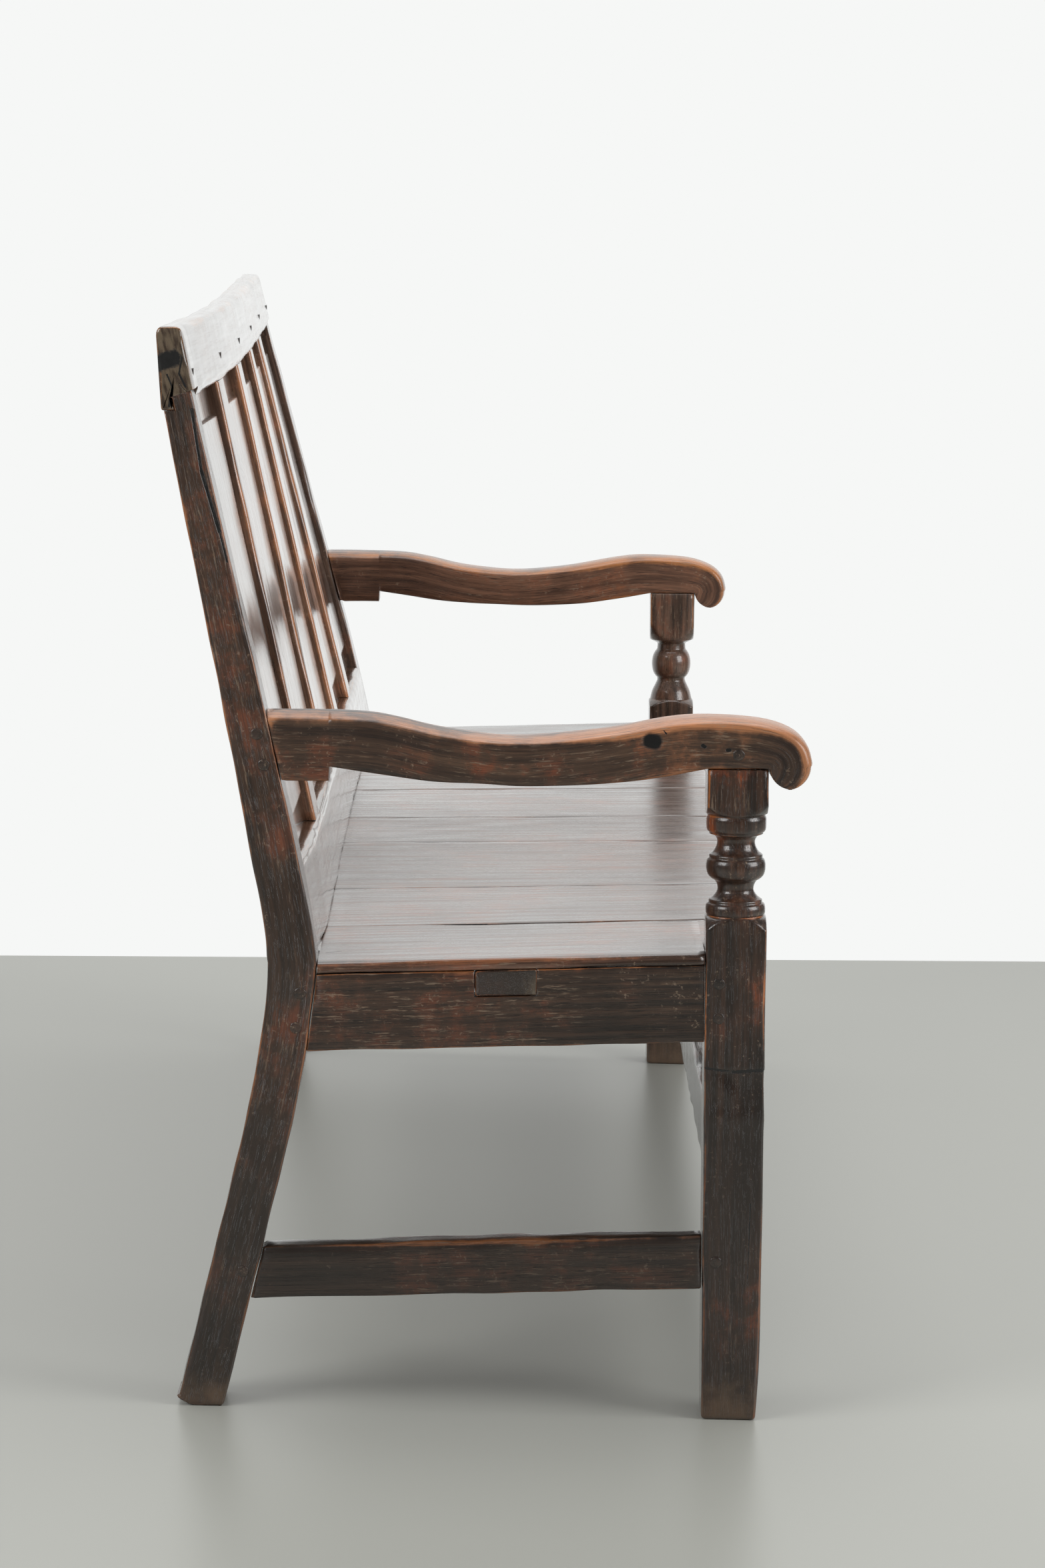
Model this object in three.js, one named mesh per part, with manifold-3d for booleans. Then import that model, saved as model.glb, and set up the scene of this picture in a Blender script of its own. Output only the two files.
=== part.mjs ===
// An open-arm settle, or deacons bench, of pegged oak: two raked back posts and two turned front posts,
// shaped arms, a back of five fielded panels between muntins, and a seat of boards that run front to back.
import * as THREE from "three";
import { mergeVertices } from "three/addons/utils/BufferGeometryUtils.js";
import Module from "manifold-3d";

const wasm = await Module();
wasm.setup();

// Overall sizes, in millimetres. X runs along the seat, Y from the posts' front face to the back, and Z up
// the front posts from the front edge of their feet.
const length = 1800; // over the outer faces of the posts
const reach = 420; // front of the front posts to front of the rear posts, at the seat
const seatHeight = 450; // top of the seat at its front edge
const armBedHeight = 621.4; // where the arms lie on the front posts
const crestHeight = 1028; // top of the crest rail
const seatFallShare = 0.03; // fall of the seat and the side members for each unit of depth

// The rear feet have worn shorter than the front ones, so the whole bench stands tipped back.
const tipDegrees = 1.29;
const floorShare = Math.tan(THREE.MathUtils.degToRad(tipDegrees)); // rise of the floor seen from the bench

// The back isn't quite true: it bows forward left of the middle, and leans further back to the right.
const crestBow = 12; // at the middle of the crest
const bowSkewShare = 0.5; // how far its fullest part is left of the middle
const rightLean = 23; // at the right end of the crest

// Rear posts: sawn from wide stock, so that they kick back both above and below the seat
const rearPostWide = 55;
const rearPostDeep = 44.5;
const rearPostTopDeep = 29;
// Slope at the knee, slope of the straight stretch, and the height over which one turns into the other
const above = { kneeShare: 0.143, rakeShare: 0.23, bend: 146 };
const below = { kneeShare: 0.08, rakeShare: 0.24, bend: 180 };
const kneeEase = 30; // half the height of the rounded knee behind
const rearFootEase = 10; // worn back corner of the foot

// Front posts: square below the seat and under the arm, turned between
const frontPostSide = 57;
const turnedRise = 18; // from the front edge of the seat to the lower shoulder
const armBlockHigh = 43; // square block under the arm
const pinRadius = 11; // round tenon that enters the arm
const pinLong = 30;
const footWearShare = 1.3; // radius of the worn foot over half the side
const footWearHigh = 5;

// The turned length: radius as a share of half the side, height as a share of the length between shoulders.
// "to" is a straight cut, and with "by" a curve that is pulled towards that point.
const turningShares = [
  { by: [1.28, 0.07], to: [1, 0.13] }, // lower shoulder, cut from the corners
  { to: [0.92, 0.138] },
  { by: [1.01, 0.19], to: [0.93, 0.265] }, // ring
  { to: [0.87, 0.272] },
  { to: [0.85, 0.31] },
  { by: [0.6, 0.345], to: [0.57, 0.4] }, // cove
  { to: [0.62, 0.44] },
  { to: [0.71, 0.462] },
  { by: [0.94, 0.49], to: [0.94, 0.6] }, // ball
  { by: [0.94, 0.67], to: [0.8, 0.705] },
  { to: [0.76, 0.715] },
  { by: [0.66, 0.73], to: [0.615, 0.765] }, // cove
  { to: [0.64, 0.82] },
  { to: [0.83, 0.845] },
  { to: [0.835, 0.868] },
  { by: [1.01, 0.9], to: [0.93, 0.968] }, // ring
  { to: [1, 1] },
  { by: [1.3, 1.02], to: [1.5, 1.07] }, // upper shoulder
];
const beyondCornerShare = 1.5; // radius of the lathe's path where the post stays square, over half its side

// Arms
const armDeep = 48; // crown over the bed
const armNose = 40; // scroll in front of the post
const scrollDrop = 18.2; // bottom of the scroll below the bed
const armBlockLong = 44; // square block at the rear post
const armBlockDrop = 13.5;
const armEase = 6; // fall of the worn top towards both sides
// Along the arm as shares of its reach from the post's front to the rear post, up as shares of its depth.
const armTopShares = [[1, 1.08], [0.82, 1.04], [0.74, 0.93], [0.64, 0.71], [0.5, 0.58], [0.34, 0.71],
  [0.21, 0.94], [0.13, 1], [0.02, 0.94]];
const armNoseShares = [[-0.5, 0.76], [-0.88, 0.48], [-1.02, 0.14]]; // along in shares of the nose
const armBellyShares = [[0.21, -0.16], [0.29, -0.28], [0.39, -0.34], [0.47, -0.355], [0.55, -0.335],
  [0.68, -0.27], [0.79, -0.12]];
// Places across the arm, and how much of the ease the top has lost there
const armAcrossShares = [0, 0.05, 0.13, 0.27, 0.5, 0.73, 0.87, 0.95, 1];
const armEaseShares = [1, 0.5, 0.18, 0.03, 0, 0.03, 0.18, 0.5, 1];
const bellyEaseShare = 0.25;

// Rails under the seat, and stretchers
const railDeep = 73;
const railThick = 30;
const sideSet = 2; // side members behind the posts' outer faces
const frontRailSet = 4;
const sideStretcherTop = 181; // at the front post
const sideStretcherDeep = 52;
const longStretcherLow = 114;
const longStretcherDeep = 69;
const stretcherThick = 28;
const bearerWide = 58;
const bearerThick = 25;
const bearerShare = 0.58; // middle of the bearer, over the reach

// Seat boards
const seatThick = 11;
const seatEdgeSet = 1;
const seatRound = 5;
const boardJointShares = [0.111, 0.232, 0.399, 0.503, 0.633, 0.756, 0.878];

// Back between the posts
const backSet = 1; // behind the front of the posts
const backRailHigh = 86;
const backRailThick = 22;
const backRailBevel = 4;
const backRailProud = 3.5; // its upper edge before the muntins
const backRailTuck = 2; // its lower edge behind them
const muntinWide = 75;
const muntinThick = 18;
const muntinRound = 4;
const panelCount = 5;
const panelMargin = 30; // sunk border round the raised field
const panelSink = 8; // border behind the muntins' front
const fieldSink = 1.5;
const fieldSlope = 3; // width of the field's sloping edge
const tongueThick = 5;
const grooveDeep = 9;
const panelPlay = 1; // room for the panel at the bottom of its groove

// Crest rail
const crestDeep = 66;
const crestThick = 27.6; // from the muntins' front to its back
const crestProud = 4.8; // its face before the muntins
const crestUprightShare = 0.02; // how much steeper its face stands than the panels
const crestThinShare = 0.14; // how much it thins upwards
const crestArris = 8; // height of the facet along its lower edge
const crestRound = 6;
const crestLip = 11; // how far its back hangs down
const crestEndLift = 7.5; // its ends are cut up by this over the posts' fronts
const crestEndFallShare = 0.33; // fall of that cut towards the back
const crestEndEase = 2; // depth worn off the front corner at each end
const crestEndRun = 16; // and length

// Joints
const fit = 0.3; // clearance between neighbours
const tenonThick = 10;
const tenonShoulder = 8;
const sideTenonLong = 28;
const tenonWall = 6; // wood left between tenons that cross
const crestTenonThick = 8;
const crestTenonSet = 7; // behind the muntins' front
const crestTenonLong = 34;
const crestTenonShoulder = 12;
const footTenonLong = 26;
const armTenonShoulder = 9;
const pegRadius = 4;
const crestPegRadius = 3;
const pegProud = 0.8;
const pegInset = 13; // from the shoulder
const pegBite = 4; // beyond the tenon
const pegTipShare = 0.8;
const railPegShares = [0.24, 0.69]; // down the rail
const armPegShares = [0.24, 0.68]; // up the arm's end
const pinPegShare = 0.47; // up the pin
const crestPegShare = 0.68; // up the crest's tenons

// Cutting
const overrun = 20; // cutters reach past what they cut
const bendSteps = 5;
const backSteps = 15;
const panelSteps = 3;
const shoulderSteps = 3;
const curveSteps = 3;
const armCurveSteps = 4;
const turningSides = 24;
const holeSides = 16;
const pegSides = 8;

const oak = { colour: 0x3a2b22, worn: 0x5a3a26, seat: 0x4a382d, peg: 0x2a211c };

// Levels and lines that several pieces share
const seatTopAt = (y) => seatHeight - seatFallShare * y;
const railTopAt = (y) => seatTopAt(y) - seatThick - fit;
const sideStretcherTopAt = (y) => sideStretcherTop - seatFallShare * y;
const kneeHeight = seatTopAt(reach);
const backRailTop = kneeHeight + backRailHigh;
const crestLow = crestHeight - crestDeep;
const floorAt = (y) => floorShare * y;
const backSpan = length - 2 * rearPostWide;
const panelWide = (backSpan - (panelCount - 1) * muntinWide) / panelCount;
const lipFront = muntinThick + fit;

// How far the post's line has swept back at a distance from the knee
function sweep({ kneeShare, rakeShare, bend }, rise) {
  const bent = Math.min(rise, bend);
  const turned = (rakeShare - kneeShare) * bent ** 2 / (2 * bend);
  return kneeShare * bent + turned + rakeShare * (rise - bent);
}

const sweptAt = (rise) => (rise > 0 ? sweep(above, rise) : sweep(below, -rise));
const postFront = (z) => reach + sweptAt(z - kneeHeight);

// The back edge runs beside the front one, with its knee rounded and the top tapered.
function postBack(z) {
  const rise = z - kneeHeight;
  const eased = Math.abs(rise) < kneeEase ? (rise ** 2 + kneeEase ** 2) / (2 * kneeEase) : Math.abs(rise);
  const taper = Math.max(0, (z - backRailTop) / (crestLow - backRailTop));
  return reach + sweptAt(Math.sign(rise) * eased) + rearPostDeep + (rearPostTopDeep - rearPostDeep) * taper;
}

// Front plane of the muntins
const straightFrom = kneeHeight + above.bend;
const backPlane = (z) => postFront(straightFrom) + above.rakeShare * (z - straightFrom) + backSet;

// Places: as drawn, with the back's bow and lean, and from depth behind the muntins' front
const asDrawn = (x, y, z) => [x, y, z];

function settled(x, y, z) {
  const rise = Math.max(0, (z - kneeHeight) / (crestHeight - kneeHeight));
  const lean = rightLean * (x / length + 1 / 2);
  const side = THREE.MathUtils.clamp(2 * x / backSpan, -1, 1);
  const bow = crestBow * (1 - side ** 2) * (1 - bowSkewShare * side);
  return [x, y + (lean - bow) * rise, z];
}

const onBack = (x, depth, z) => settled(x, backPlane(z) + depth, z);

// Solids
function solid(geometry) {
  geometry.deleteAttribute("normal");
  geometry.deleteAttribute("uv");
  const merged = mergeVertices(geometry);
  const corners = merged.index.array;
  const triangles = [];
  for (let i = 0; i < corners.length; i += 3) {
    const [a, b, c] = corners.slice(i, i + 3);
    if (a !== b && b !== c && c !== a) triangles.push(a, b, c);
  }
  const vertProperties = merged.attributes.position.array;
  return new wasm.Manifold(new wasm.Mesh({ numProp: 3, vertProperties, triVerts: new Uint32Array(triangles) }));
}

function moved(geometry, place) {
  const position = geometry.attributes.position;
  for (let i = 0; i < position.count; i += 1) {
    position.setXYZ(i, ...place(position.getX(i), position.getY(i), position.getZ(i)));
  }
  return geometry;
}

// An outline of [y, z] points, or a shape, drawn along X between two places
function alongX(outline, [x0, x1], place = asDrawn, steps = 1) {
  const drawn = outline instanceof THREE.Shape;
  const shape = drawn ? outline : new THREE.Shape(outline.map(([y, z]) => new THREE.Vector2(y, z)));
  const options = { depth: x1 - x0, steps, bevelEnabled: false, curveSegments: curveSteps };
  return solid(moved(new THREE.ExtrudeGeometry(shape, options), (u, v, w) => place(x0 + w, u, v)));
}

const rectangle = ([y0, y1], [z0, z1]) => [[y0, z0], [y1, z0], [y1, z1], [y0, z1]];
const block = (xs, ys, zs, place) => alongX(rectangle(ys, zs), xs, place);
const grown = ([low, high], by) => [low - by, high + by];
const across = (middle, wide) => [middle - wide / 2, middle + wide / 2];

// From one inset to another behind the outer face of an end: hand is -1 at the left and 1 at the right.
const inset = (hand, a, b) => [hand * (length / 2 - a), hand * (length / 2 - b)].sort((p, q) => p - q);

const joined = (first, ...others) => others.reduce((whole, other) => whole.add(other), first);
const cut = (whole, ...cutters) => cutters.reduce((rest, cutter) => rest.subtract(cutter), whole);

// A round bar from one place along a unit direction
function bar(place, direction, long, radius, tipRadius, sides) {
  const geometry = new THREE.CylinderGeometry(tipRadius, radius, long, sides);
  geometry.translate(0, long / 2, 0);
  const turn = new THREE.Quaternion().setFromUnitVectors(new THREE.Vector3(0, 1, 0), direction);
  geometry.applyQuaternion(turn);
  geometry.translate(...place);
  return solid(geometry);
}

const inwards = (hand) => new THREE.Vector3(-hand, 0, 0);
const backwards = new THREE.Vector3(0, 1, 0);
const upwards = new THREE.Vector3(0, 0, 1);

function peg({ place, direction, deep, radius }) {
  const head = new THREE.Vector3(...place).addScaledVector(direction, -pegProud);
  return bar(head.toArray(), direction, pegProud + deep, radius, radius * pegTipShare, pegSides);
}

function pegHole({ place, direction, deep, radius }) {
  const mouth = new THREE.Vector3(...place).addScaledVector(direction, -overrun);
  return bar(mouth.toArray(), direction, overrun + deep + fit, radius + fit, radius + fit, holeSides);
}

// Where pegs stand
const sideMiddle = (thick) => sideSet + thick / 2;
const sidePegDeep = (thick) => sideMiddle(thick) + tenonThick / 2 + pegBite;
const frontPegLine = frontPostSide - pegInset;

function sidePeg(hand, y, z, deep, place = asDrawn) {
  return { place: place(hand * length / 2, y, z), direction: inwards(hand), deep, radius: pegRadius };
}

const rearPegAt = (z) => postFront(z) + pegInset;

const railPegs = (hand) => railPegShares.flatMap((share) => {
  const front = railTopAt(frontPegLine) - share * railDeep;
  const rear = railTopAt(reach) - share * railDeep;
  const deep = sidePegDeep(railThick);
  return [sidePeg(hand, frontPegLine, front, deep), sidePeg(hand, rearPegAt(rear), rear, deep)];
});

function stretcherPegs(hand) {
  const middleAt = (y) => sideStretcherTopAt(y) - sideStretcherDeep / 2;
  const rear = middleAt(reach);
  const deep = sidePegDeep(stretcherThick);
  return [sidePeg(hand, frontPegLine, middleAt(frontPegLine), deep), sidePeg(hand, rearPegAt(rear), rear, deep)];
}

const armEnd = [armBedHeight - armBlockDrop, armBedHeight + armTopShares[0][1] * armDeep];
const armTenonX = (hand) => inset(hand, frontPostSide / 2 - tenonThick / 2, frontPostSide / 2 + tenonThick / 2);

const armPegs = (hand) => armPegShares.map((share) => {
  const z = armEnd[0] + share * (armEnd[1] - armEnd[0]);
  return sidePeg(hand, rearPegAt(z), z, frontPostSide / 2 + tenonThick / 2 + pegBite, settled);
});

function pinPeg(hand) {
  const z = armBedHeight + pinPegShare * pinLong;
  return sidePeg(hand, frontPostSide / 2, z, frontPostSide / 2 + pinRadius + pegBite);
}

const muntinMiddles = [];
for (let i = 1; i < panelCount; i += 1) {
  muntinMiddles.push(-backSpan / 2 + i * (panelWide + muntinWide) - muntinWide / 2);
}
const postMiddles = [-1, 1].map((hand) => hand * (length - rearPostWide) / 2);

const crestPegs = [postMiddles[0], ...muntinMiddles, postMiddles[1]].map((x) => {
  const z = crestLow + crestPegShare * crestTenonLong;
  const deep = crestTenonSet + crestTenonThick + pegBite - crestFace(z);
  return { place: onBack(x, crestFace(z), z), direction: backwards, deep, radius: crestPegRadius };
});

// Tenons run through their member from end to end, so one solid makes both tenons, and grown by the
// clearance it makes both mortises.
function sideTenons(hand, topAt, deep, thick, grow) {
  const low = (y) => topAt(y) - deep + tenonShoulder - grow;
  const high = (y) => topAt(y) - tenonShoulder + grow;
  const front = frontPostSide - sideTenonLong - grow;
  const back = postFront(topAt(reach) - deep / 2) + sideTenonLong + grow;
  const xs = inset(hand, sideMiddle(thick) - tenonThick / 2, sideMiddle(thick) + tenonThick / 2);
  const outline = [[front, low(front)], [back, low(back)], [back, high(back)], [front, high(front)]];
  return alongX(outline, grown(xs, grow));
}

// The straight member between the posts, its back end cut to the rear post's line
function sideMember(hand, topAt, deep, thick) {
  const lowAt = (y) => topAt(y) - deep;
  const edge = [];
  for (let i = 0; i <= shoulderSteps; i += 1) {
    const z = topAt(reach) - deep * i / shoulderSteps;
    const back = postFront(z) - fit;
    edge.push([back, z - seatFallShare * (back - reach)]);
  }
  const front = frontPostSide + fit;
  return alongX([[front, topAt(front)], ...edge, [front, lowAt(front)]], inset(hand, sideSet, sideSet + thick));
}

// Members along the bench: the tenons stop short of those that come from the side.
function longTenons(ys, zs, postWide, thick, grow) {
  const long = postWide - sideMiddle(thick) - tenonThick / 2 - tenonWall;
  const half = length / 2 - postWide + long + grow;
  const [y0, y1] = across((ys[0] + ys[1]) / 2, tenonThick);
  const [z0, z1] = [zs[0] + tenonShoulder, zs[1] - tenonShoulder];
  return block([-half, half], grown([y0, y1], grow), grown([z0, z1], grow));
}

const frontRailY = [frontRailSet, frontRailSet + railThick];
const rearRailY = [reach + rearPostDeep - railThick, reach + rearPostDeep];
const railZ = (ys) => [railTopAt(ys[1]) - railDeep, railTopAt(ys[1])];
const stretcherZ = [longStretcherLow, longStretcherLow + longStretcherDeep];
const frontStretcherY = [sideSet, sideSet + stretcherThick];

const frontRailTenons = (grow) => longTenons(frontRailY, railZ(frontRailY), frontPostSide, railThick, grow);
const rearRailTenons = (grow) => longTenons(rearRailY, railZ(rearRailY), rearPostWide, railThick, grow);
const frontStretcherTenons = (grow) => longTenons(frontStretcherY, stretcherZ, frontPostSide, stretcherThick, grow);

// The top edge of a rail follows the fall of the seat.
function longRail(ys, postWide) {
  const half = length / 2 - postWide - fit;
  const [low] = railZ(ys);
  const outline = [[ys[0], low], [ys[1], low], [ys[1], railTopAt(ys[1])], [ys[0], railTopAt(ys[0])]];
  return alongX(outline, [-half, half]);
}

function longStretcher(ys, postWide) {
  const half = length / 2 - postWide - fit;
  return block([-half, half], ys, stretcherZ);
}

const sideRailTenons = (hand, grow) => sideTenons(hand, railTopAt, railDeep, railThick, grow);
const sideStretcherTenons = (hand, grow) =>
  sideTenons(hand, sideStretcherTopAt, sideStretcherDeep, stretcherThick, grow);

function sideRail(hand) {
  const body = sideMember(hand, railTopAt, railDeep, railThick);
  return cut(joined(body, sideRailTenons(hand, 0)), bearerSolid(fit), ...railPegs(hand).map(pegHole));
}

function sideStretcher(hand) {
  const body = sideMember(hand, sideStretcherTopAt, sideStretcherDeep, stretcherThick);
  return cut(joined(body, sideStretcherTenons(hand, 0)), ...stretcherPegs(hand).map(pegHole));
}

// The bearer carries the boards at mid depth. Its ends are let in from the top of the side rails and show.
function bearerSolid(grow) {
  const [y0, y1] = grown(across(bearerShare * reach, bearerWide), grow);
  const top = grow ? overrun : 0;
  const low = bearerThick + grow;
  const half = length / 2 - sideSet + (grow ? overrun : 0);
  const outline = [[y0, railTopAt(y0) - low], [y1, railTopAt(y1) - low], [y1, railTopAt(y1) + top],
    [y0, railTopAt(y0) + top]];
  return alongX(outline, [-half, half]);
}

// Arms
const armTenon = (hand, grow) => {
  const zs = grown([armEnd[0] + armTenonShoulder, armEnd[1] - armTenonShoulder], grow);
  const root = postFront(armEnd[0]) - armBlockLong / 2;
  const back = postFront(armEnd[0]) + sideTenonLong + grow;
  return block(grown(armTenonX(hand), grow), [root, back], zs, settled);
};

const scrollRadius = armNose / 2;

function armOutline() {
  const rear = postFront(armEnd[1]);
  const at = ([along, up], unit) => new THREE.Vector2(along * unit, armBedHeight + up * armDeep);
  const scroll = new THREE.Vector2(scrollRadius - armNose, armBedHeight - scrollDrop + scrollRadius);
  const shape = new THREE.Shape();
  const top = armTopShares.map((share) => at(share, rear));
  shape.moveTo(top[0].x, top[0].y);
  const nose = armNoseShares.map((share) => at(share, armNose));
  shape.splineThru([...top.slice(1), ...nose, new THREE.Vector2(-armNose, scroll.y)]);
  const inner = Math.asin((armBedHeight - scroll.y) / scrollRadius);
  shape.absarc(scroll.x, scroll.y, scrollRadius, Math.PI, 2 * Math.PI + inner);
  shape.lineTo(frontPostSide, armBedHeight);
  const blockFront = postFront(armEnd[0]) - armBlockLong;
  const belly = armBellyShares.map((share) => at(share, rear));
  shape.splineThru([...belly, new THREE.Vector2(blockFront, armBedHeight)]);
  shape.lineTo(blockFront, armEnd[0]);
  shape.lineTo(postFront(armEnd[0]), armEnd[0]);
  return shape;
}

function arm(hand) {
  const steps = armAcrossShares.length - 1;
  const [x0] = inset(hand, 0, frontPostSide);
  const middle = new THREE.Vector2(scrollRadius - armNose, armBedHeight + armDeep / 4);
  const place = (u, v, w) => {
    const layer = Math.round(w * steps);
    const away = new THREE.Vector2(Math.min(0, u - middle.x), v - middle.y).normalize();
    const onBed = Math.abs(v - armBedHeight) < fit && u <= frontPostSide;
    const ease = armEase * armEaseShares[layer] * (v > middle.y ? 1 : bellyEaseShare) * (onBed ? 0 : 1);
    const z = v - away.y * ease;
    const face = settled(x0, postFront(z), z)[1] - fit;
    const y = u > postFront(v) - fit ? face : Math.min(u - away.x * ease, face);
    return [x0 + armAcrossShares[layer] * frontPostSide, y, z];
  };
  const options = { depth: 1, steps, bevelEnabled: false, curveSegments: armCurveSteps };
  const body = solid(moved(new THREE.ExtrudeGeometry(armOutline(), options), place));
  const mouth = [postCentre(hand), frontPostSide / 2, armBedHeight - overrun];
  const radius = pinRadius + fit;
  const bore = bar(mouth, upwards, overrun + pinLong + fit, radius, radius, turningSides);
  return cut(joined(body, armTenon(hand, 0)), bore, ...[...armPegs(hand), pinPeg(hand)].map(pegHole));
}

// What lies under the feet
const ground = () => {
  const [y0, y1] = [-overrun, 2 * reach];
  return alongX([[y0, -overrun], [y1, -overrun], [y1, floorAt(y1)], [y0, floorAt(y0)]], [-length, length]);
};

// Front posts
const postCentre = (hand) => hand * (length - frontPostSide) / 2;

function frontPost(hand) {
  const half = frontPostSide / 2;
  const low = seatHeight + turnedRise;
  const high = armBedHeight - armBlockHigh;
  const at = ([radius, up]) => [radius * half, low + up * (high - low)];
  const corner = beyondCornerShare * half;
  const profile = new THREE.Path();
  profile.moveTo(0, 0);
  profile.lineTo(footWearShare * half, 0);
  profile.lineTo(corner, footWearHigh);
  profile.lineTo(corner, low);
  for (const { by, to } of turningShares) {
    if (by) profile.quadraticCurveTo(...at(by), ...at(to));
    else profile.lineTo(...at(to));
  }
  const bed = armBedHeight - fit;
  profile.lineTo(corner, bed);
  profile.lineTo(pinRadius, bed);
  profile.lineTo(pinRadius, bed + pinLong);
  profile.lineTo(0, bed + pinLong);
  const lathe = new THREE.LatheGeometry(profile.getPoints(curveSteps), turningSides);
  lathe.rotateX(Math.PI / 2);
  lathe.translate(postCentre(hand), half, 0);
  const stock = block(inset(hand, 0, frontPostSide), [0, frontPostSide], [0, armBedHeight + pinLong]);
  const mortises = [sideRailTenons(hand, fit), sideStretcherTenons(hand, fit), frontRailTenons(fit),
    frontStretcherTenons(fit)];
  const holes = [...railPegs(hand), ...stretcherPegs(hand), pinPeg(hand)].map(pegHole);
  return cut(solid(lathe).intersect(stock), ground(), ...mortises, ...holes);
}

// Rear posts
function rearPost(hand) {
  const heights = [0];
  for (let i = -bendSteps; i < 0; i += 1) heights.push(kneeHeight + below.bend * i / bendSteps);
  for (let i = 0; i <= bendSteps; i += 1) heights.push(kneeHeight + above.bend * i / bendSteps);
  const front = [...heights, crestSeatAt(-backSet) - fit].map((z) => [postFront(z), z]);
  const shelf = crestLow - crestLip - fit;
  const neck = (z) => backPlane(z) + lipFront - fit;
  const head = crestSeatAt(lipFront) - fit;
  const top = [[neck(head), head], [neck(shelf), shelf], [postBack(shelf), shelf]];
  const back = heights.slice(1).reverse().map((z) => [postBack(z), z]);
  const heel = floorAt(postBack(0));
  const foot = [[postBack(heel + rearFootEase), heel + rearFootEase], [postBack(heel) - rearFootEase, heel]];
  const body = alongX([...front, ...top, ...back, ...foot], inset(hand, 0, rearPostWide), settled);
  const mortises = [sideRailTenons(hand, fit), sideStretcherTenons(hand, fit), rearRailTenons(fit),
    armTenon(hand, fit), backRailTenons(fit), panelGroove(hand)];
  const holes = [...railPegs(hand), ...stretcherPegs(hand), ...armPegs(hand)].map(pegHole);
  return cut(joined(body, postCrestTenon(hand, 0)), ground(), ...mortises, ...holes, ...crestPegs.map(pegHole));
}

// Height of the crest's seat on a post, at a depth behind the muntins' front
const crestSeatAt = (depth) => crestLow + crestEndLift - crestEndFallShare * (depth + backSet);

const crestTenonDepth = [crestTenonSet, crestTenonSet + crestTenonThick];

function postCrestTenon(hand, grow) {
  const xs = inset(hand, crestTenonShoulder, rearPostWide - crestTenonShoulder);
  const zs = [crestLow - crestTenonShoulder, crestLow + crestTenonLong + grow];
  return block(grown(xs, grow), grown(crestTenonDepth, grow), zs, onBack);
}

const grooveDepth = grown([panelSink, panelSink + tongueThick], fit);

function panelGroove(hand) {
  const xs = inset(hand, rearPostWide - grooveDeep, rearPostWide + overrun);
  return block(xs, grooveDepth, [backRailTop - grooveDeep, crestLow + overrun], onBack);
}

// Back rail: the low board over the seat
const backRailLow = seatTopAt(reach - backRailThick) + fit;

function backRailTenons(grow) {
  const long = rearPostWide - sideMiddle(railThick) - tenonThick / 2 - tenonWall;
  const half = backSpan / 2 + long + grow;
  const zs = [backRailLow + tenonShoulder, backRailTop - grooveDeep - fit - fit];
  const outline = rectangle(grown([crestTenonSet, crestTenonSet + tenonThick], grow), grown(zs, grow));
  return alongX(outline, [-half, half], onBack, backSteps);
}

function backRail() {
  const half = backSpan / 2 - fit;
  const outline = [[backRailTuck, backRailLow], [backRailThick, backRailLow], [backRailThick, backRailTop],
    [0, backRailTop], [-backRailProud, backRailTop - backRailBevel]];
  const body = alongX(outline, [-half, half], onBack, backSteps);
  const groove = alongX(rectangle(grooveDepth, [backRailTop - grooveDeep, backRailTop + overrun]),
    [-backSpan / 2, backSpan / 2], onBack, backSteps);
  return cut(joined(body, backRailTenons(0)), groove, ...muntinMiddles.map((x) => muntinTenons(x, fit)));
}

// Muntins
function muntinTenons(middle, grow) {
  const xs = grown(across(middle, muntinWide - 2 * crestTenonShoulder), grow);
  const zs = [backRailTop - footTenonLong - grow, crestLow + crestTenonLong + grow];
  return block(xs, grown(crestTenonDepth, grow), zs, onBack);
}

// The foot stands on the back rail, and the front corners are rounded.
function muntin(middle) {
  const foot = backRailTop + fit;
  const head = crestLow - fit;
  const xs = across(middle, muntinWide);
  const plan = new THREE.Shape();
  plan.moveTo(xs[0], muntinThick);
  plan.lineTo(xs[0], muntinRound);
  plan.quadraticCurveTo(xs[0], 0, xs[0] + muntinRound, 0);
  plan.lineTo(xs[1] - muntinRound, 0);
  plan.quadraticCurveTo(xs[1], 0, xs[1], muntinRound);
  plan.lineTo(xs[1], muntinThick);
  const options = { depth: head - foot, bevelEnabled: false, curveSegments: curveSteps };
  const body = solid(moved(new THREE.ExtrudeGeometry(plan, options), (u, v, w) => onBack(u, v, foot + w)));
  const grooves = [-1, 1].map((side) => {
    const edge = middle + side * muntinWide / 2;
    const groove = [edge - side * grooveDeep, edge + side * overrun].sort((p, q) => p - q);
    return block(groove, grooveDepth, [backRailTop - overrun, crestLow + overrun], onBack);
  });
  return cut(joined(cut(body, ...grooves), muntinTenons(middle, 0)), ...crestPegs.map(pegHole));
}

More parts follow.
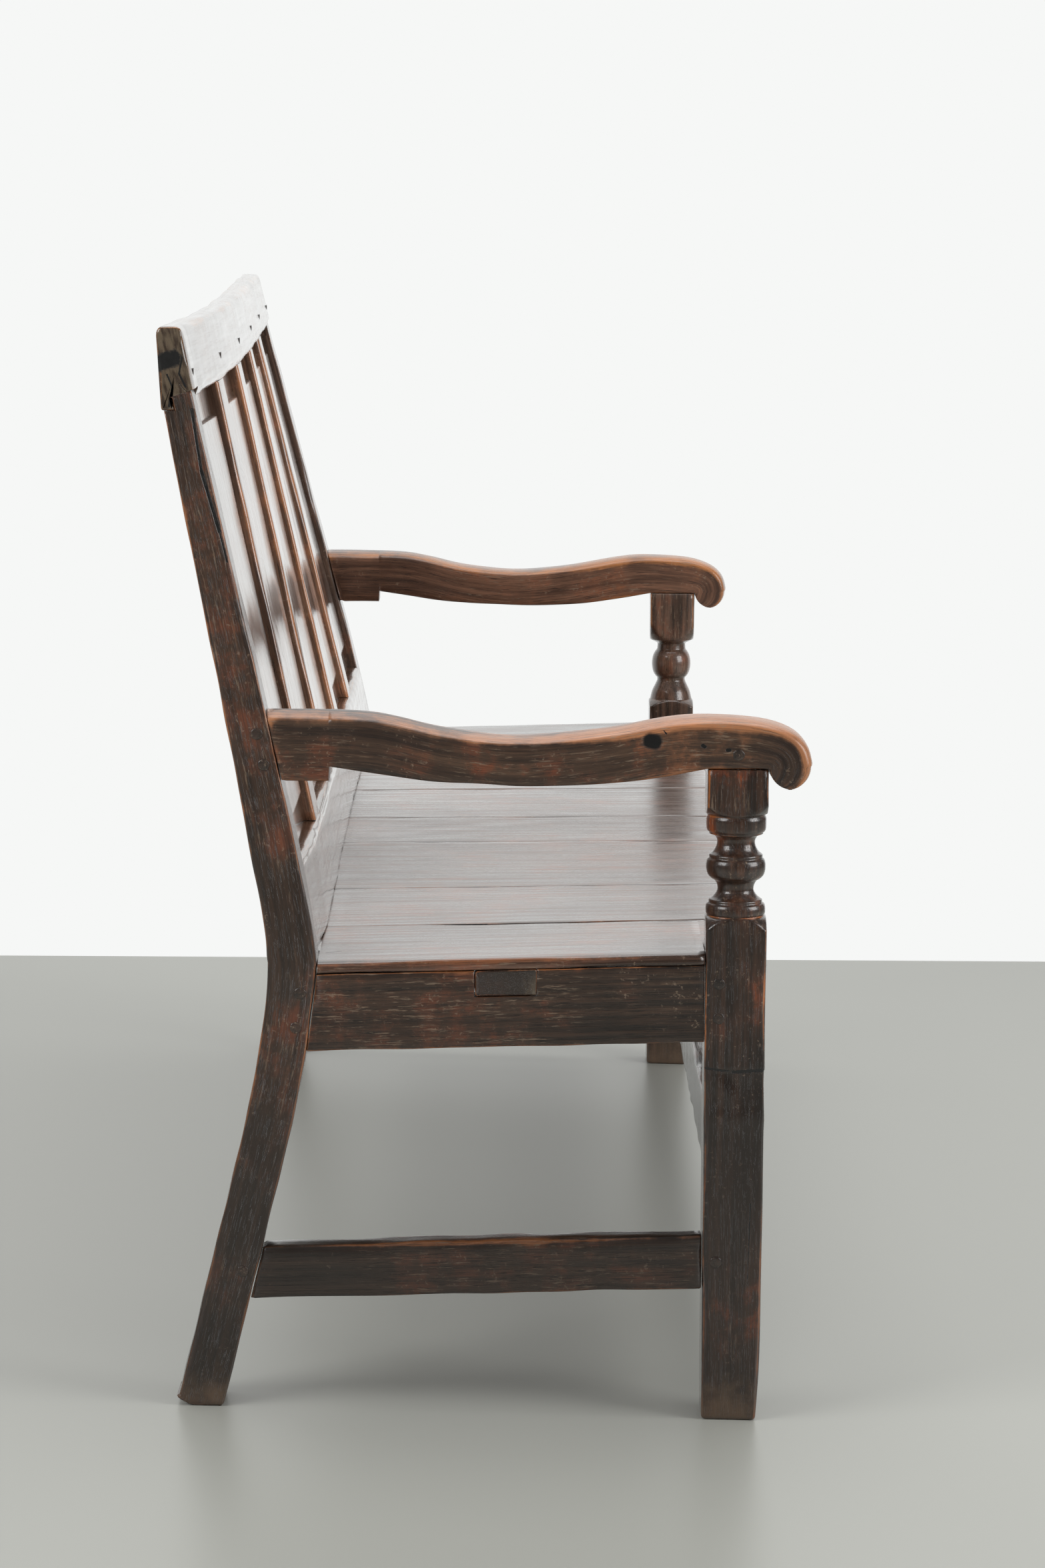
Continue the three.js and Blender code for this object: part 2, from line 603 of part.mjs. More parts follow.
// Fielded panels: a thin board with its edges in the grooves, and a raised field with sloping edges
function panel(middle) {
  const tongue = grooveDeep - panelPlay;
  const board = alongX(rectangle([panelSink, panelSink + tongueThick], [backRailTop - tongue, crestLow + tongue]),
    across(middle, panelWide + 2 * tongue), onBack, panelSteps);
  const [x0, x1] = across(middle, panelWide - 2 * panelMargin);
  const [z0, z1] = [backRailTop + panelMargin, crestLow - panelMargin];
  const corners = [[x0, z0], [x1, z0], [x1, z1], [x0, z1]];
  const face = new THREE.Shape(corners.map(([x, z]) => new THREE.Vector2(x, z)));
  const options = { depth: tongueThick / 2, bevelThickness: panelSink - fieldSink, bevelSize: fieldSlope,
    bevelOffset: -fieldSlope, bevelSegments: 1, steps: 1 };
  const field = solid(moved(new THREE.ExtrudeGeometry(face, options), (u, v, w) => onBack(u, panelSink - w, v)));
  const depth = [-overrun, panelSink + tongueThick / 2];
  const front = block(across(middle, panelWide), depth, grown([z0, z1], overrun), onBack);
  return joined(board, field.intersect(front));
}

// Crest rail
function crestFace(z) {
  const rise = z - crestLow;
  const facet = crestProud * THREE.MathUtils.clamp(rise / crestArris, 0, 1);
  return -facet - crestUprightShare * Math.max(0, rise - crestArris);
}

function crest() {
  const arris = crestLow + crestArris;
  const back = (z) => crestThick - (crestUprightShare + crestThinShare) * (z - arris);
  const shoulder = crestHeight - crestRound;
  const lip = crestLow - crestLip;
  const shape = new THREE.Shape();
  shape.moveTo(crestFace(crestLow), crestLow);
  shape.lineTo(crestFace(arris), arris);
  shape.lineTo(crestFace(shoulder), shoulder);
  shape.quadraticCurveTo(crestFace(crestHeight), crestHeight, crestFace(crestHeight) + crestRound, crestHeight);
  shape.lineTo(back(crestHeight) - crestRound, crestHeight);
  shape.quadraticCurveTo(back(crestHeight), crestHeight, back(shoulder), shoulder);
  shape.lineTo(back(lip), lip);
  shape.lineTo(lipFront, lip);
  shape.lineTo(lipFront, crestLow);
  const body = alongX(shape, [-length / 2, length / 2], onBack, backSteps);
  const half = backSpan / 2 + grooveDeep;
  const groove = alongX(rectangle(grooveDepth, [crestLow - overrun, crestLow + grooveDeep]), [-half, half], onBack,
    backSteps);
  const seats = [-1, 1].map((hand) => {
    const low = crestLow - crestLip - overrun;
    const outline = [[-overrun, low], [lipFront, low], [lipFront, crestSeatAt(lipFront)],
      [-overrun, crestSeatAt(-overrun)]];
    return alongX(outline, inset(hand, -overrun, rearPostWide + fit), onBack);
  });
  const mortises = [...[-1, 1].map((hand) => postCrestTenon(hand, fit)),
    ...muntinMiddles.map((x) => muntinTenons(x, fit))];
  return cut(body, groove, ...seats, ...[-1, 1].map(wornEnd), ...mortises, ...crestPegs.map(pegHole));
}

// What wear has taken from the front corner at an end of the crest
function wornEnd(hand) {
  const end = length / 2;
  const plan = new THREE.Shape();
  plan.moveTo(end + overrun, -overrun);
  plan.lineTo(end + overrun, crestEndEase);
  plan.lineTo(end, crestEndEase);
  plan.quadraticCurveTo(end, 0, end - crestEndRun, 0);
  plan.lineTo(end - crestEndRun, -overrun);
  const options = { depth: crestDeep + 2 * overrun, bevelEnabled: false, curveSegments: curveSteps };
  const place = (u, v, w) => {
    const z = hand > 0 ? crestLow - overrun + w : crestHeight + overrun - w;
    return onBack(hand * u, v + crestFace(z), z);
  };
  return solid(moved(new THREE.ExtrudeGeometry(plan, options), place));
}

// Seat boards, their front ends rounded; the outer two are notched round the posts.
const boardEdges = [-length / 2 + seatEdgeSet, ...boardJointShares.map((share) => (share - 1 / 2) * length),
  length / 2 - seatEdgeSet];

function seatBoard(index) {
  const first = index === 0;
  const last = index === boardEdges.length - 2;
  const x0 = boardEdges[index] + (first ? 0 : fit / 2);
  const x1 = boardEdges[index + 1] - (last ? 0 : fit / 2);
  const front = sideSet;
  const back = reach + rearPostDeep;
  const under = (y) => seatTopAt(y) - seatThick;
  const shape = new THREE.Shape();
  shape.moveTo(front, under(front));
  shape.lineTo(front, seatTopAt(front) - seatRound);
  shape.quadraticCurveTo(front, seatTopAt(front), front + seatRound, seatTopAt(front + seatRound));
  shape.lineTo(back, seatTopAt(back));
  shape.lineTo(back, under(back));
  let board = alongX(shape, [x0, x1]);
  if (first || last) board = board.intersect(roundedEnd(first ? -1 : 1));
  const notches = [-1, 1].flatMap((hand) => [
    block(inset(hand, -overrun, frontPostSide + fit), [-overrun, frontPostSide + fit], [0, crestHeight]),
    block(inset(hand, -overrun, rearPostWide + fit), [reach - fit, back + overrun], [0, crestHeight]),
  ]);
  return cut(board, ...notches);
}

// Everything inside the rounded upper edge of a seat end
function roundedEnd(hand) {
  const edge = length / 2 - seatEdgeSet;
  const plan = new THREE.Shape();
  plan.moveTo(-edge, -seatThick);
  plan.lineTo(edge, -seatThick);
  plan.lineTo(edge, seatThick - seatRound);
  plan.quadraticCurveTo(edge, seatThick, edge - seatRound, seatThick);
  plan.lineTo(-edge, seatThick);
  const deep = reach + rearPostDeep + 2 * overrun;
  const options = { depth: deep, bevelEnabled: false, curveSegments: curveSteps };
  const place = (u, v, w) => {
    const y = (hand > 0 ? deep - w : w) - overrun;
    return [hand * u, y, seatTopAt(y) - seatThick + v];
  };
  return solid(moved(new THREE.ExtrudeGeometry(plan, options), place));
}

// Assembly
const bench = new THREE.Group();

function add(name, piece, color, roughness) {
  const { vertProperties, triVerts } = piece.getMesh();
  const geometry = new THREE.BufferGeometry();
  geometry.setAttribute("position", new THREE.BufferAttribute(vertProperties, 3));
  geometry.setIndex(new THREE.BufferAttribute(triVerts, 1));
  const material = new THREE.MeshStandardMaterial({ color, roughness, metalness: 0, flatShading: true });
  const mesh = new THREE.Mesh(geometry, material);
  mesh.name = name;
  bench.add(mesh);
}

const waxed = 0.4;
const dry = 0.6;

for (const [end, hand] of [["left", -1], ["right", 1]]) {
  add(`rear_post_${end}`, rearPost(hand), oak.colour, waxed);
  add(`front_post_${end}`, frontPost(hand), oak.colour, waxed);
  add(`arm_${end}`, arm(hand), oak.worn, waxed);
  add(`side_rail_${end}`, sideRail(hand), oak.colour, waxed);
  add(`side_stretcher_${end}`, sideStretcher(hand), oak.colour, dry);
  railPegs(hand).forEach((at, i) => add(`rail_peg_${end}_${i + 1}`, peg(at), oak.peg, dry));
  stretcherPegs(hand).forEach((at, i) => add(`stretcher_peg_${end}_${i + 1}`, peg(at), oak.peg, dry));
  armPegs(hand).forEach((at, i) => add(`arm_peg_${end}_${i + 1}`, peg(at), oak.peg, dry));
  add(`pin_peg_${end}`, peg(pinPeg(hand)), oak.peg, dry);
}

add("front_rail", joined(longRail(frontRailY, frontPostSide), frontRailTenons(0)), oak.colour, dry);
add("rear_rail", joined(longRail(rearRailY, rearPostWide), rearRailTenons(0)), oak.colour, dry);
const stretcher = joined(longStretcher(frontStretcherY, frontPostSide), frontStretcherTenons(0));
add("front_stretcher", stretcher, oak.colour, dry);
add("seat_bearer", bearerSolid(0), oak.colour, dry);

for (let i = 0; i < boardEdges.length - 1; i += 1) add(`seat_board_${i + 1}`, seatBoard(i), oak.seat, waxed);

add("back_rail", backRail(), oak.colour, waxed);
add("crest_rail", crest(), oak.colour, waxed);
muntinMiddles.forEach((x, i) => add(`muntin_${i + 1}`, muntin(x), oak.colour, waxed));
for (let i = 0; i < panelCount; i += 1) {
  const middle = -backSpan / 2 + panelWide / 2 + i * (panelWide + muntinWide);
  add(`panel_${i + 1}`, panel(middle), oak.colour, waxed);
}
crestPegs.forEach((at, i) => add(`crest_peg_${i + 1}`, peg(at), oak.peg, dry));

// Tipped back on its feet, with the origin on the floor under the middle of the whole bench
bench.rotation.x = -THREE.MathUtils.degToRad(tipDegrees);
const box = new THREE.Box3().setFromObject(bench, true);
bench.position.y = -(box.min.y + box.max.y) / 2;
const settle = new THREE.Group();
settle.add(bench);

export default settle;
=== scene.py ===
# %% [markdown]
# # An old oak settle
# This is a long pegged bench of oak: raked back posts, turned front posts, shaped arms, five fielded
# panels between muntins, and a seat of boards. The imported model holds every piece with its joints. Here
# each is made again with the surface that a few centuries leave: rounded arrises, wavy hand-planed
# faces, open grain and worn wax. We start by loading the model, which fixes every place.

import bpy
import numpy as np
from types import SimpleNamespace
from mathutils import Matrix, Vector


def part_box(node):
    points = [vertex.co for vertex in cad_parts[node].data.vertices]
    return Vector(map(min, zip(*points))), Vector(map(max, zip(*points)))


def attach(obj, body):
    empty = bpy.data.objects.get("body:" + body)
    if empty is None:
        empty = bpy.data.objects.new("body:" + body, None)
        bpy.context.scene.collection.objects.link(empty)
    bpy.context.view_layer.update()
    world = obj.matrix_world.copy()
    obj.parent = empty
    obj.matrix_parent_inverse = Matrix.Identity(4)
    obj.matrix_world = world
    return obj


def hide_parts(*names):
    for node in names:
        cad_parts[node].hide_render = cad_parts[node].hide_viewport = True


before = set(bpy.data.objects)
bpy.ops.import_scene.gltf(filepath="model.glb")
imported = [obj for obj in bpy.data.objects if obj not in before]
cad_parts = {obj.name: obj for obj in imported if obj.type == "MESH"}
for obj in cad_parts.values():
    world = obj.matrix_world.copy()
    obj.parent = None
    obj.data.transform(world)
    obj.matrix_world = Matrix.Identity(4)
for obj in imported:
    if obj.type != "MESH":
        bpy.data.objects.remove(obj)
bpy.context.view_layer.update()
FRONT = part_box("front_post_left")[0].y * 1000  # front edge of the front feet, in millimetres
print(len(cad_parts), "pieces, front feet at", round(FRONT, 2), "mm")

# %% [markdown]
# ## Lines that several pieces share
# A joiner sets out a bench from a few lines: the fall of the seat, the rake of the back, the bed of the
# arms. We write them as functions in millimetres, with x along the bench, y from the front posts' faces
# to the back, and z up those posts. Every piece is placed by them, so neighbours meet. The rear feet have
# worn short, which tips the bench back by a little over a degree: `tipped` turns every finished point,
# and so the setting out stays square.

# %% Setting-out lines
LENGTH = 1800.0
END = LENGTH / 2
REACH = 420.0  # from the front posts' front to the rear posts', at the seat
SEAT = 450.0  # the seat's front edge
SEAT_SLOPE = 0.03
BED = 621.4  # the arm's underside on the front post
CREST_TOP = 1028.0
FRONT_POST = 57.0  # square
REAR_POST, REAR_POST_DEEP = 55.0, 44.5
MUNTIN = 75.0
GAP, OPEN = 0.3, 0.4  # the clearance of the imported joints, and of a worn shoulder
KNEE = SEAT - SEAT_SLOPE * REACH
KNEE_ROUND = 30.0
BEND, RAKE = 146.0, 0.23  # the back is straight from this far above the knee
BACK_RAIL_TOP = KNEE + 86
CREST_LOW = CREST_TOP - 66
LIP_FRONT, LIP_DEEP = 18.3, 11.0  # the crest's lip behind the posts
SPAN = LENGTH - 2 * REAR_POST
TIP = np.radians(1.29)
SIDES = (("left", -1), ("right", 1))


def ramp(value, low, high):
    """0 up to low, 1 from high on, and straight between them."""
    return np.clip((value - low) / (high - low), 0, 1)


def tipped(points):
    """Places in the room of set-out points: a turn about the front edge of the front feet."""
    x, y, z = np.moveaxis(np.asarray(points, float), -1, 0)
    return np.stack([x, FRONT + y * np.cos(TIP) + z * np.sin(TIP), z * np.cos(TIP) - y * np.sin(TIP)], -1)


def set_out(point):
    """The same turn the other way."""
    x, y, z = point[0], point[1] - FRONT, point[2]
    return np.array([x, y * np.cos(TIP) - z * np.sin(TIP), y * np.sin(TIP) + z * np.cos(TIP)])


def floor(y):
    """Height of the floor, as seen from the tipped bench."""
    return y * np.tan(TIP)


def seat_fall(y):
    """Height of the seat, which falls to the back."""
    return SEAT - SEAT_SLOPE * y


def sweep(rise, knee, rake, bend):
    """How far back a raked line is: its slope grows evenly from knee to rake over the bend, then stays."""
    bent = np.minimum(rise, bend)
    return knee * bent + (rake - knee) * bent**2 / (2 * bend) + rake * (rise - bent)


def swept(rise):
    """The post's own sweeps: one above the knee and a gentler one below it."""
    return np.where(rise > 0, sweep(np.abs(rise), 0.143, RAKE, BEND), sweep(np.abs(rise), 0.08, 0.24, 180))


def post_front(z):
    """Front edge of a rear post."""
    return REACH + swept(z - KNEE)


def post_back(z):
    """Back edge of a rear post, with its knee rounded and its top tapered."""
    rise = z - KNEE
    rounded = (rise**2 + KNEE_ROUND**2) / (2 * KNEE_ROUND)
    eased = np.where(np.abs(rise) < KNEE_ROUND, rounded, np.abs(rise))
    taper = 15.5 * np.clip((z - BACK_RAIL_TOP) / (CREST_LOW - BACK_RAIL_TOP), 0, None)
    return REACH + swept(np.where(rise < 0, -eased, eased)) + REAR_POST_DEEP - taper


def back_plane(z):
    """Front plane of the muntins, straight from the seat to the crest."""
    return post_front(KNEE + BEND) + RAKE * (z - KNEE - BEND) + 1


def settled(x, y, z):
    """A place moved by the back's lean, which grows to the right and upwards, less its bow, which is
    fullest left of the middle."""
    rise = np.clip((z - KNEE) / (CREST_TOP - KNEE), 0, None)
    side = np.clip(2 * x / SPAN, -1, 1)
    lean = 23 * (x / LENGTH + 0.5)
    bow = 12 * (1 - side**2) * (1 - 0.5 * side)
    return np.stack([x + 0 * y, y + (lean - bow) * rise, z + 0 * y], -1)


def on_back(x, depth, z):
    """A place on the leaning back, from its depth behind the muntins' front."""
    return settled(x, back_plane(z) + depth, z)


print("knee at", round(KNEE, 1), "mm, crest from", CREST_LOW, "to", CREST_TOP, "mm")

# %% [markdown]
# ## A worn timber
# A cube with a bevel would do for a timber, but its arrises would be the same all along, and an old
# arris never is. So a section is an outline with rounded corners, and `timber` carries it along stations
# and closes both ends with rounded caps. It marks every point with its place in the grain, with how
# exposed it is (`edge`), and with whether it is end grain (`cap`), and the finish reads those marks.
# Wear pushes exposed points inwards unevenly.

# %% Noise, sections and timbers
def swell(points, size, seed):
    """Smooth hills about size across, from -1 to 1: a sum of sine waves in random directions."""
    rng = np.random.default_rng(seed)
    waves = rng.normal(size=(9, 3))
    waves *= 2 * np.pi / size * rng.uniform(0.5, 1.5, (9, 1)) / np.linalg.norm(waves, axis=1)[:, None]
    return np.sin(points @ waves.T + rng.uniform(0, 2 * np.pi, 9)).sum(-1) / 3.6


def section(corners, radii, step, arc=5):
    """A closed outline: each corner is a quadratic curve from its one radius to its other, and each side
    is divided into steps. Returns the points and how near each is to a corner."""
    corners = np.array(corners, float)
    ahead = np.roll(corners, -1, 0) - corners
    ahead /= np.linalg.norm(ahead, axis=1)[:, None]
    radii = np.array([np.broadcast_to(r, 2) for r in radii])
    starts, ends = corners - np.roll(ahead, 1, 0) * radii[:, :1], corners + ahead * radii[:, 1:]
    t = np.linspace(0, 1, arc + 1)[:, None]
    points, edge = [], []
    for start, corner, end, stop in zip(starts, corners, ends, np.roll(starts, -1, 0)):
        long = np.linalg.norm(stop - end)
        u = np.linspace(0, 1, max(2, int(long / step) + 1) + 1)[1:-1]
        rounded = (1 - t) ** 2 * start + 2 * t * (1 - t) * corner + t**2 * end
        points += [rounded, end + (stop - end) * u[:, None]]
        edge += [0.5 + 0.5 * np.sin(np.pi * t[:, 0]), 0.5 * np.exp(-long * np.minimum(u, 1 - u) / 2.5)]
    return np.concatenate(points), np.concatenate(edge)


def rect(a0, a1, b0, b1, radii, **more):
    """A rectangular section, with one radius, or one for each corner from (a0, b0) round."""
    radii = [radii] * 4 if np.isscalar(radii) else radii
    return section([(a0, b0), (a1, b0), (a1, b1), (a0, b1)], radii, **more)


def timber(shape, stations, place, ends, wear, wave, seed):
    """A section carried along stations. In each ring the outline is moved inwards by an inset and drawn
    to its centre by a share, at a distance s; place turns (s, a, b) into x, y, z."""
    outline, edge = shape
    tangent = np.roll(outline, -1, 0) - np.roll(outline, 1, 0)
    inward = np.stack([-tangent[:, 1], tangent[:, 0]], -1) / np.linalg.norm(tangent, axis=1)[:, None]
    turn = np.radians([0, 22, 45, 68, 90])
    cos, sin, draw = np.cos(turn), np.sin(turn), np.array([0.15, 0.4, 0.65, 0.86])
    near, far = ends
    s0, s1 = stations[0], stations[-1]
    inner = stations[(stations > s0 + near) & (stations < s1 - far)]

    def rows(flat_near, round_near, middle, round_far, flat_far):
        """One value for each ring: flat end, rounded end, middle, and the same at the far end."""
        return np.r_[[flat_near] * 4, round_near, middle, round_far[::-1], [flat_far] * 4]

    s = rows(s0, s0 + near * (1 - cos), inner, s1 - far * (1 - cos), s1)
    inset = rows(near, near * (1 - sin), 0 * inner, far * (1 - sin), far)
    capped = rows(1, cos, 0 * inner, cos, 1)
    exposed = rows(0, np.sin(2 * turn), 0 * inner, np.sin(2 * turn), 0)
    share = np.r_[draw, np.ones(len(s) - 8), draw[::-1]]
    ring = outline[None] + inward[None] * inset[:, None, None]
    middle = ring.mean(1, keepdims=True)
    ring = middle + (ring - middle) * share[:, None, None]
    local = np.concatenate([s[:, None, None] + 0 * ring[..., :1], ring], -1)
    skin = share[:, None] == 1
    weight = np.maximum(edge[None] * skin, exposed[:, None])
    loss = wear * weight * np.clip(0.45 + 0.9 * swell(local / [2.2, 1, 1], 55, seed), 0, 1.6)
    local[..., 1:] += inward[None] * (loss * skin)[..., None]
    rings = place(local[..., 0], local[..., 1], local[..., 2])
    across, along = np.roll(rings, -1, 1) - np.roll(rings, 1, 1), np.gradient(rings, axis=0)
    normal = np.cross(across, along)
    normal /= np.maximum(np.linalg.norm(normal, axis=-1, keepdims=True), 1e-9)
    planed = skin * (capped[:, None] < 1)
    rings = rings + normal * (wave * swell(rings, 70, seed + 1) * planed)[..., None]
    return rings, local, weight, np.broadcast_to(capped[:, None], weight.shape)


def close(rings):
    """Faces of a tube of rings with a point at each end: quads between rings, triangles at the points."""
    n, m = rings.shape[:2]
    grid = np.arange(n * m).reshape(n, m)
    turned = np.roll(grid, -1, 1)
    quads = np.stack([grid[:-1], turned[:-1], turned[1:], grid[1:]], -1).reshape(-1, 4)
    first = np.stack([turned[0], grid[0], np.full(m, n * m)], -1)
    last = np.stack([grid[-1], turned[-1], np.full(m, n * m + 1)], -1)
    return quads, np.concatenate([first, last])


def pole(values):
    """The values of all ring points, then of the two end points, which are means."""
    flat = values.reshape(-1, *values.shape[2:])
    return np.concatenate([flat, values[:1].mean(1), values[-1:].mean(1)])


def added(name, data):
    made = bpy.data.objects.new(name, data)
    bpy.context.scene.collection.objects.link(made)
    return made


OAK = {}  # the dressed pieces, by node


def piece(node, parts, finish):
    """Makes a tipped mesh in metres, with its marks, in place of the CAD node of that name. Nothing goes
    below the floor."""
    rings, local, edge, cap = parts
    points, quads, tris = pole(rings), *close(rings)
    volume = sum(np.einsum("ij,ij->i", points[f[:, 0]], np.cross(points[f[:, i]], points[f[:, i + 1]])).sum()
                 for f, i in ((quads, 1), (quads, 2), (tris, 1)))
    if volume < 0:
        quads, tris = quads[:, ::-1], tris[:, ::-1]
    mesh = bpy.data.meshes.new("oak_" + node)
    placed = tipped(points) / 1000
    placed[:, 2] = np.maximum(placed[:, 2], 0)
    mesh.from_pydata(placed, [], quads.tolist() + tris.tolist())
    elsewhere = np.random.default_rng(len(OAK)).uniform(0, 9, 3)  # no two share their grain
    for name, values in (("grain", pole(local) / 1000 + elsewhere), ("edge", pole(edge)), ("cap", pole(cap))):
        kind, field = ("FLOAT", "value") if values.ndim == 1 else ("FLOAT_VECTOR", "vector")
        made = mesh.attributes.new(name, kind, "POINT")
        made.data.foreach_set(field, values.ravel().astype(np.float32))
    mesh.shade_smooth()
    mesh.materials.append(finish)
    shown = added("oak_" + node, mesh)
    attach(shown, "root")
    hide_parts(node)
    OAK[node] = shown


def steps(low, high, every):
    """Stations from low to high, about every so many millimetres."""
    return np.linspace(low, high, max(2, int((high - low) / every) + 1))


def step_at(*places):
    """Two stations almost together at each place, for a clean step."""
    return [place + side for place in places for side in (-0.05, 0.05)]


# %% [markdown]
# ## The finish of old oak
# Oak that was waxed, smoked and handled for centuries is nearly black, with brown showing where wax and
# dirt have been rubbed off: on arrises, arms and the seat. Its pores are long thin scores, so the grain
# is noise stretched along the timber, read from the grain mark, so that it follows each piece and never
# repeats. Waxed oak is a dielectric with an index of 1.5, and wax polished by use is smooth, so at a
# flat angle it mirrors the room. Cracks, knots and scratches are lines at known places: a few nodes
# measure how far a point is from each, and what lies within half its width is dark, or pale.

# %% Colours and small node helpers
def linear(code):
    """An sRGB hex colour as linear RGBA."""
    c = np.array([int(code[i:i + 2], 16) for i in (1, 3, 5)]) / 255
    c = np.where(c <= 0.04045, c / 12.92, ((c + 0.055) / 1.055) ** 2.4)
    return (*c.tolist(), 1.0)


def blank_material(name):
    """A new material and its empty node tree."""
    material = bpy.data.materials.new(name)
    material.use_nodes = True
    material.node_tree.nodes.clear()
    return material, material.node_tree


def node(tree, kind, inputs=(), **settings):
    """Adds a node with its settings and inputs: a socket is linked, a value or hex colour is set."""
    made = tree.nodes.new("ShaderNode" + kind)
    for name, value in settings.items():
        setattr(made, name, value)
    for key, value in dict(inputs).items():
        if isinstance(value, bpy.types.NodeSocket):
            tree.links.new(value, made.inputs[key])
        else:
            made.inputs[key].default_value = linear(value) if isinstance(value, str) else value
    return made


def between(tree, value, low, high):
    """How far a value is from low to high, smoothly."""
    inputs = {"Value": value, "From Min": low, "From Max": high}
    return node(tree, "MapRange", inputs, interpolation_type="SMOOTHSTEP").outputs[0]


def sums(tree, how, *numbers):
    return node(tree, "Math", dict(enumerate(numbers)), operation=how).outputs[0]


def weighed(tree, total, *terms):
    """A total, with each value added to it times its weight."""
    for value, weight in terms:
        total = sums(tree, "MULTIPLY_ADD", value, weight, total)
    return total


def arrows(tree, how, a, b):
    """Arithmetic on two places or directions, as a node."""
    return node(tree, "VectorMath", {0: a, 1: b}, operation=how)


def noise(tree, where, stretch, detail, rough=0.55):
    """Noise of so many cells per metre."""
    scaled = arrows(tree, "MULTIPLY", where, stretch).outputs[0]
    inputs = {"Vector": scaled, "Scale": 1.0, "Detail": detail, "Roughness": rough}
    return node(tree, "TexNoise", inputs).outputs["Fac"]


def mark(tree, at, start, end, width, ragged):
    """1 within half a width of the line between two set-out places in millimetres, and 0 beyond it. It
    goes by the nearest place on the line, and a wobble makes it ragged."""
    a, b = tipped([start, end]) / 1000
    way = b - a
    offset = arrows(tree, "SUBTRACT", at.place, a.tolist()).outputs[0]
    share = arrows(tree, "DOT_PRODUCT", offset, (way / (way @ way)).tolist()).outputs["Value"]
    share = node(tree, "Clamp", {0: share}).outputs[0]
    along = node(tree, "VectorMath", {0: way.tolist(), "Scale": share}, operation="SCALE").outputs[0]
    away = arrows(tree, "DISTANCE", offset, along).outputs["Value"]
    half = (width + ragged) / 2000
    return between(tree, weighed(tree, away, (at.wobble, ragged / 1000)), half * 1.15, half * 0.7)


def marks_of(tree, at, lines):
    """The strongest of several marks."""
    strongest = 0.0
    for line in lines:
        strongest = sums(tree, "MAXIMUM", mark(tree, at, *line), strongest)
    return strongest


# %% [markdown]
# ## What the finish reads
# At each point the finish reads the marks of its piece, its place, and eight noises. Five run along the
# grain: streaks, fibres, pores, the rings of end grain, and scuffs. Three are even: clouds as big as a
# hand, blotches, and specks. A colour is laid over another where all of its shares are high.

# %% Readings and layers
def readings(tree):
    """The marks, the place, and the noises, in cells per metre."""
    def attribute(name, output):
        return node(tree, "Attribute", attribute_name=name).outputs[output]

    grain, place = attribute("grain", "Vector"), node(tree, "TexCoord").outputs["Object"]
    aside = arrows(tree, "ADD", grain, (3.1, 1.7, 5.3)).outputs[0]
    speck = noise(tree, place, (220, 220, 220), 5, 0.7)
    return SimpleNamespace(
        edge=attribute("edge", "Fac"), cap=attribute("cap", "Fac"), place=place,
        height=node(tree, "SeparateXYZ", {0: place}).outputs[2],
        streak=noise(tree, grain, (5, 150, 150), 7, 0.6), fibre=noise(tree, grain, (22, 800, 800), 3),
        pore=between(tree, noise(tree, grain, (45, 1500, 1500), 2), 0.6, 0.66),
        rings=noise(tree, grain, (5, 230, 50), 5), speck=speck, wobble=sums(tree, "ADD", speck, -0.5),
        scuff=noise(tree, aside, (40, 420, 420), 4, 0.7), cloud=noise(tree, place, (6, 6, 6), 5),
        blotch=noise(tree, place, (24, 24, 24), 7, 0.68))


def layer(tree, under, over, *shares, mode="MIX"):
    """A colour laid over another by the product of its shares."""
    share = shares[0]
    for other in shares[1:]:
        share = sums(tree, "MULTIPLY", share, other)
    return node(tree, "Mix", {0: share, 6: under, 7: over}, data_type="RGBA", blend_type=mode).outputs[2]


# %% [markdown]
# ## The colour of the wood
# The wood starts from deep and brown streaks, with bleached lines and red patches. Then comes wear:
# how exposed a point is, moved about by three noises, so that no rubbed arris is even. Fibres, dark
# pores, pale flecks and pale scuffs follow, and end grain has tones of its own.

# %% Colour
def streaked_colour(tree, at, tones, reddened):
    """Deep to brown by streak and cloud, pale where streaks and blotches meet, and red in patches."""
    deep, face, pale, _, red = tones
    tone = weighed(tree, 0.0, (at.streak, 0.6), (at.cloud, 0.5))
    colour = layer(tree, deep, face, between(tree, tone, 0.4, 0.7))
    light = between(tree, at.streak, 0.56, 0.76)
    colour = layer(tree, colour, pale, light, between(tree, at.blotch, 0.45, 0.7))
    grained = weighed(tree, 0.3, (between(tree, at.streak, 0.4, 0.62), 0.7))
    return layer(tree, colour, red, between(tree, at.blotch, 0.46, 0.64), between(tree, at.cloud, 0.46, 0.6),
                 grained, reddened)


def rubbed_colour(tree, at, colour, worn, wear):
    """The worn tone over what is exposed, then fine dark fibres."""
    usual = 1.87  # what the three noises usually add
    rubbed = weighed(tree, at.edge, (at.blotch, 1.1), (at.cloud, 1.8), (at.streak, 0.6))
    colour = layer(tree, colour, worn, between(tree, rubbed, wear[0] + usual, wear[1] + usual))
    fine = weighed(tree, 0.05, (at.fibre, 1.9))
    grey = node(tree, "CombineColor", {0: fine, 1: fine, 2: fine}).outputs[0]
    return layer(tree, colour, grey, 0.8, mode="MULTIPLY")


def flecked_colour(tree, at, colour):
    """Pores filled with dark wax, flecks in patches, and scuffs where the clouds are high."""
    colour = layer(tree, colour, "#0f0a07", at.pore, 0.7)
    colour = layer(tree, colour, "#9a8570", between(tree, at.speck, 0.585, 0.65),
                   between(tree, at.blotch, 0.46, 0.6), 0.5)
    return layer(tree, colour, "#8d7864", between(tree, at.scuff, 0.57, 0.66),
                 between(tree, at.cloud, 0.42, 0.58), 0.65)


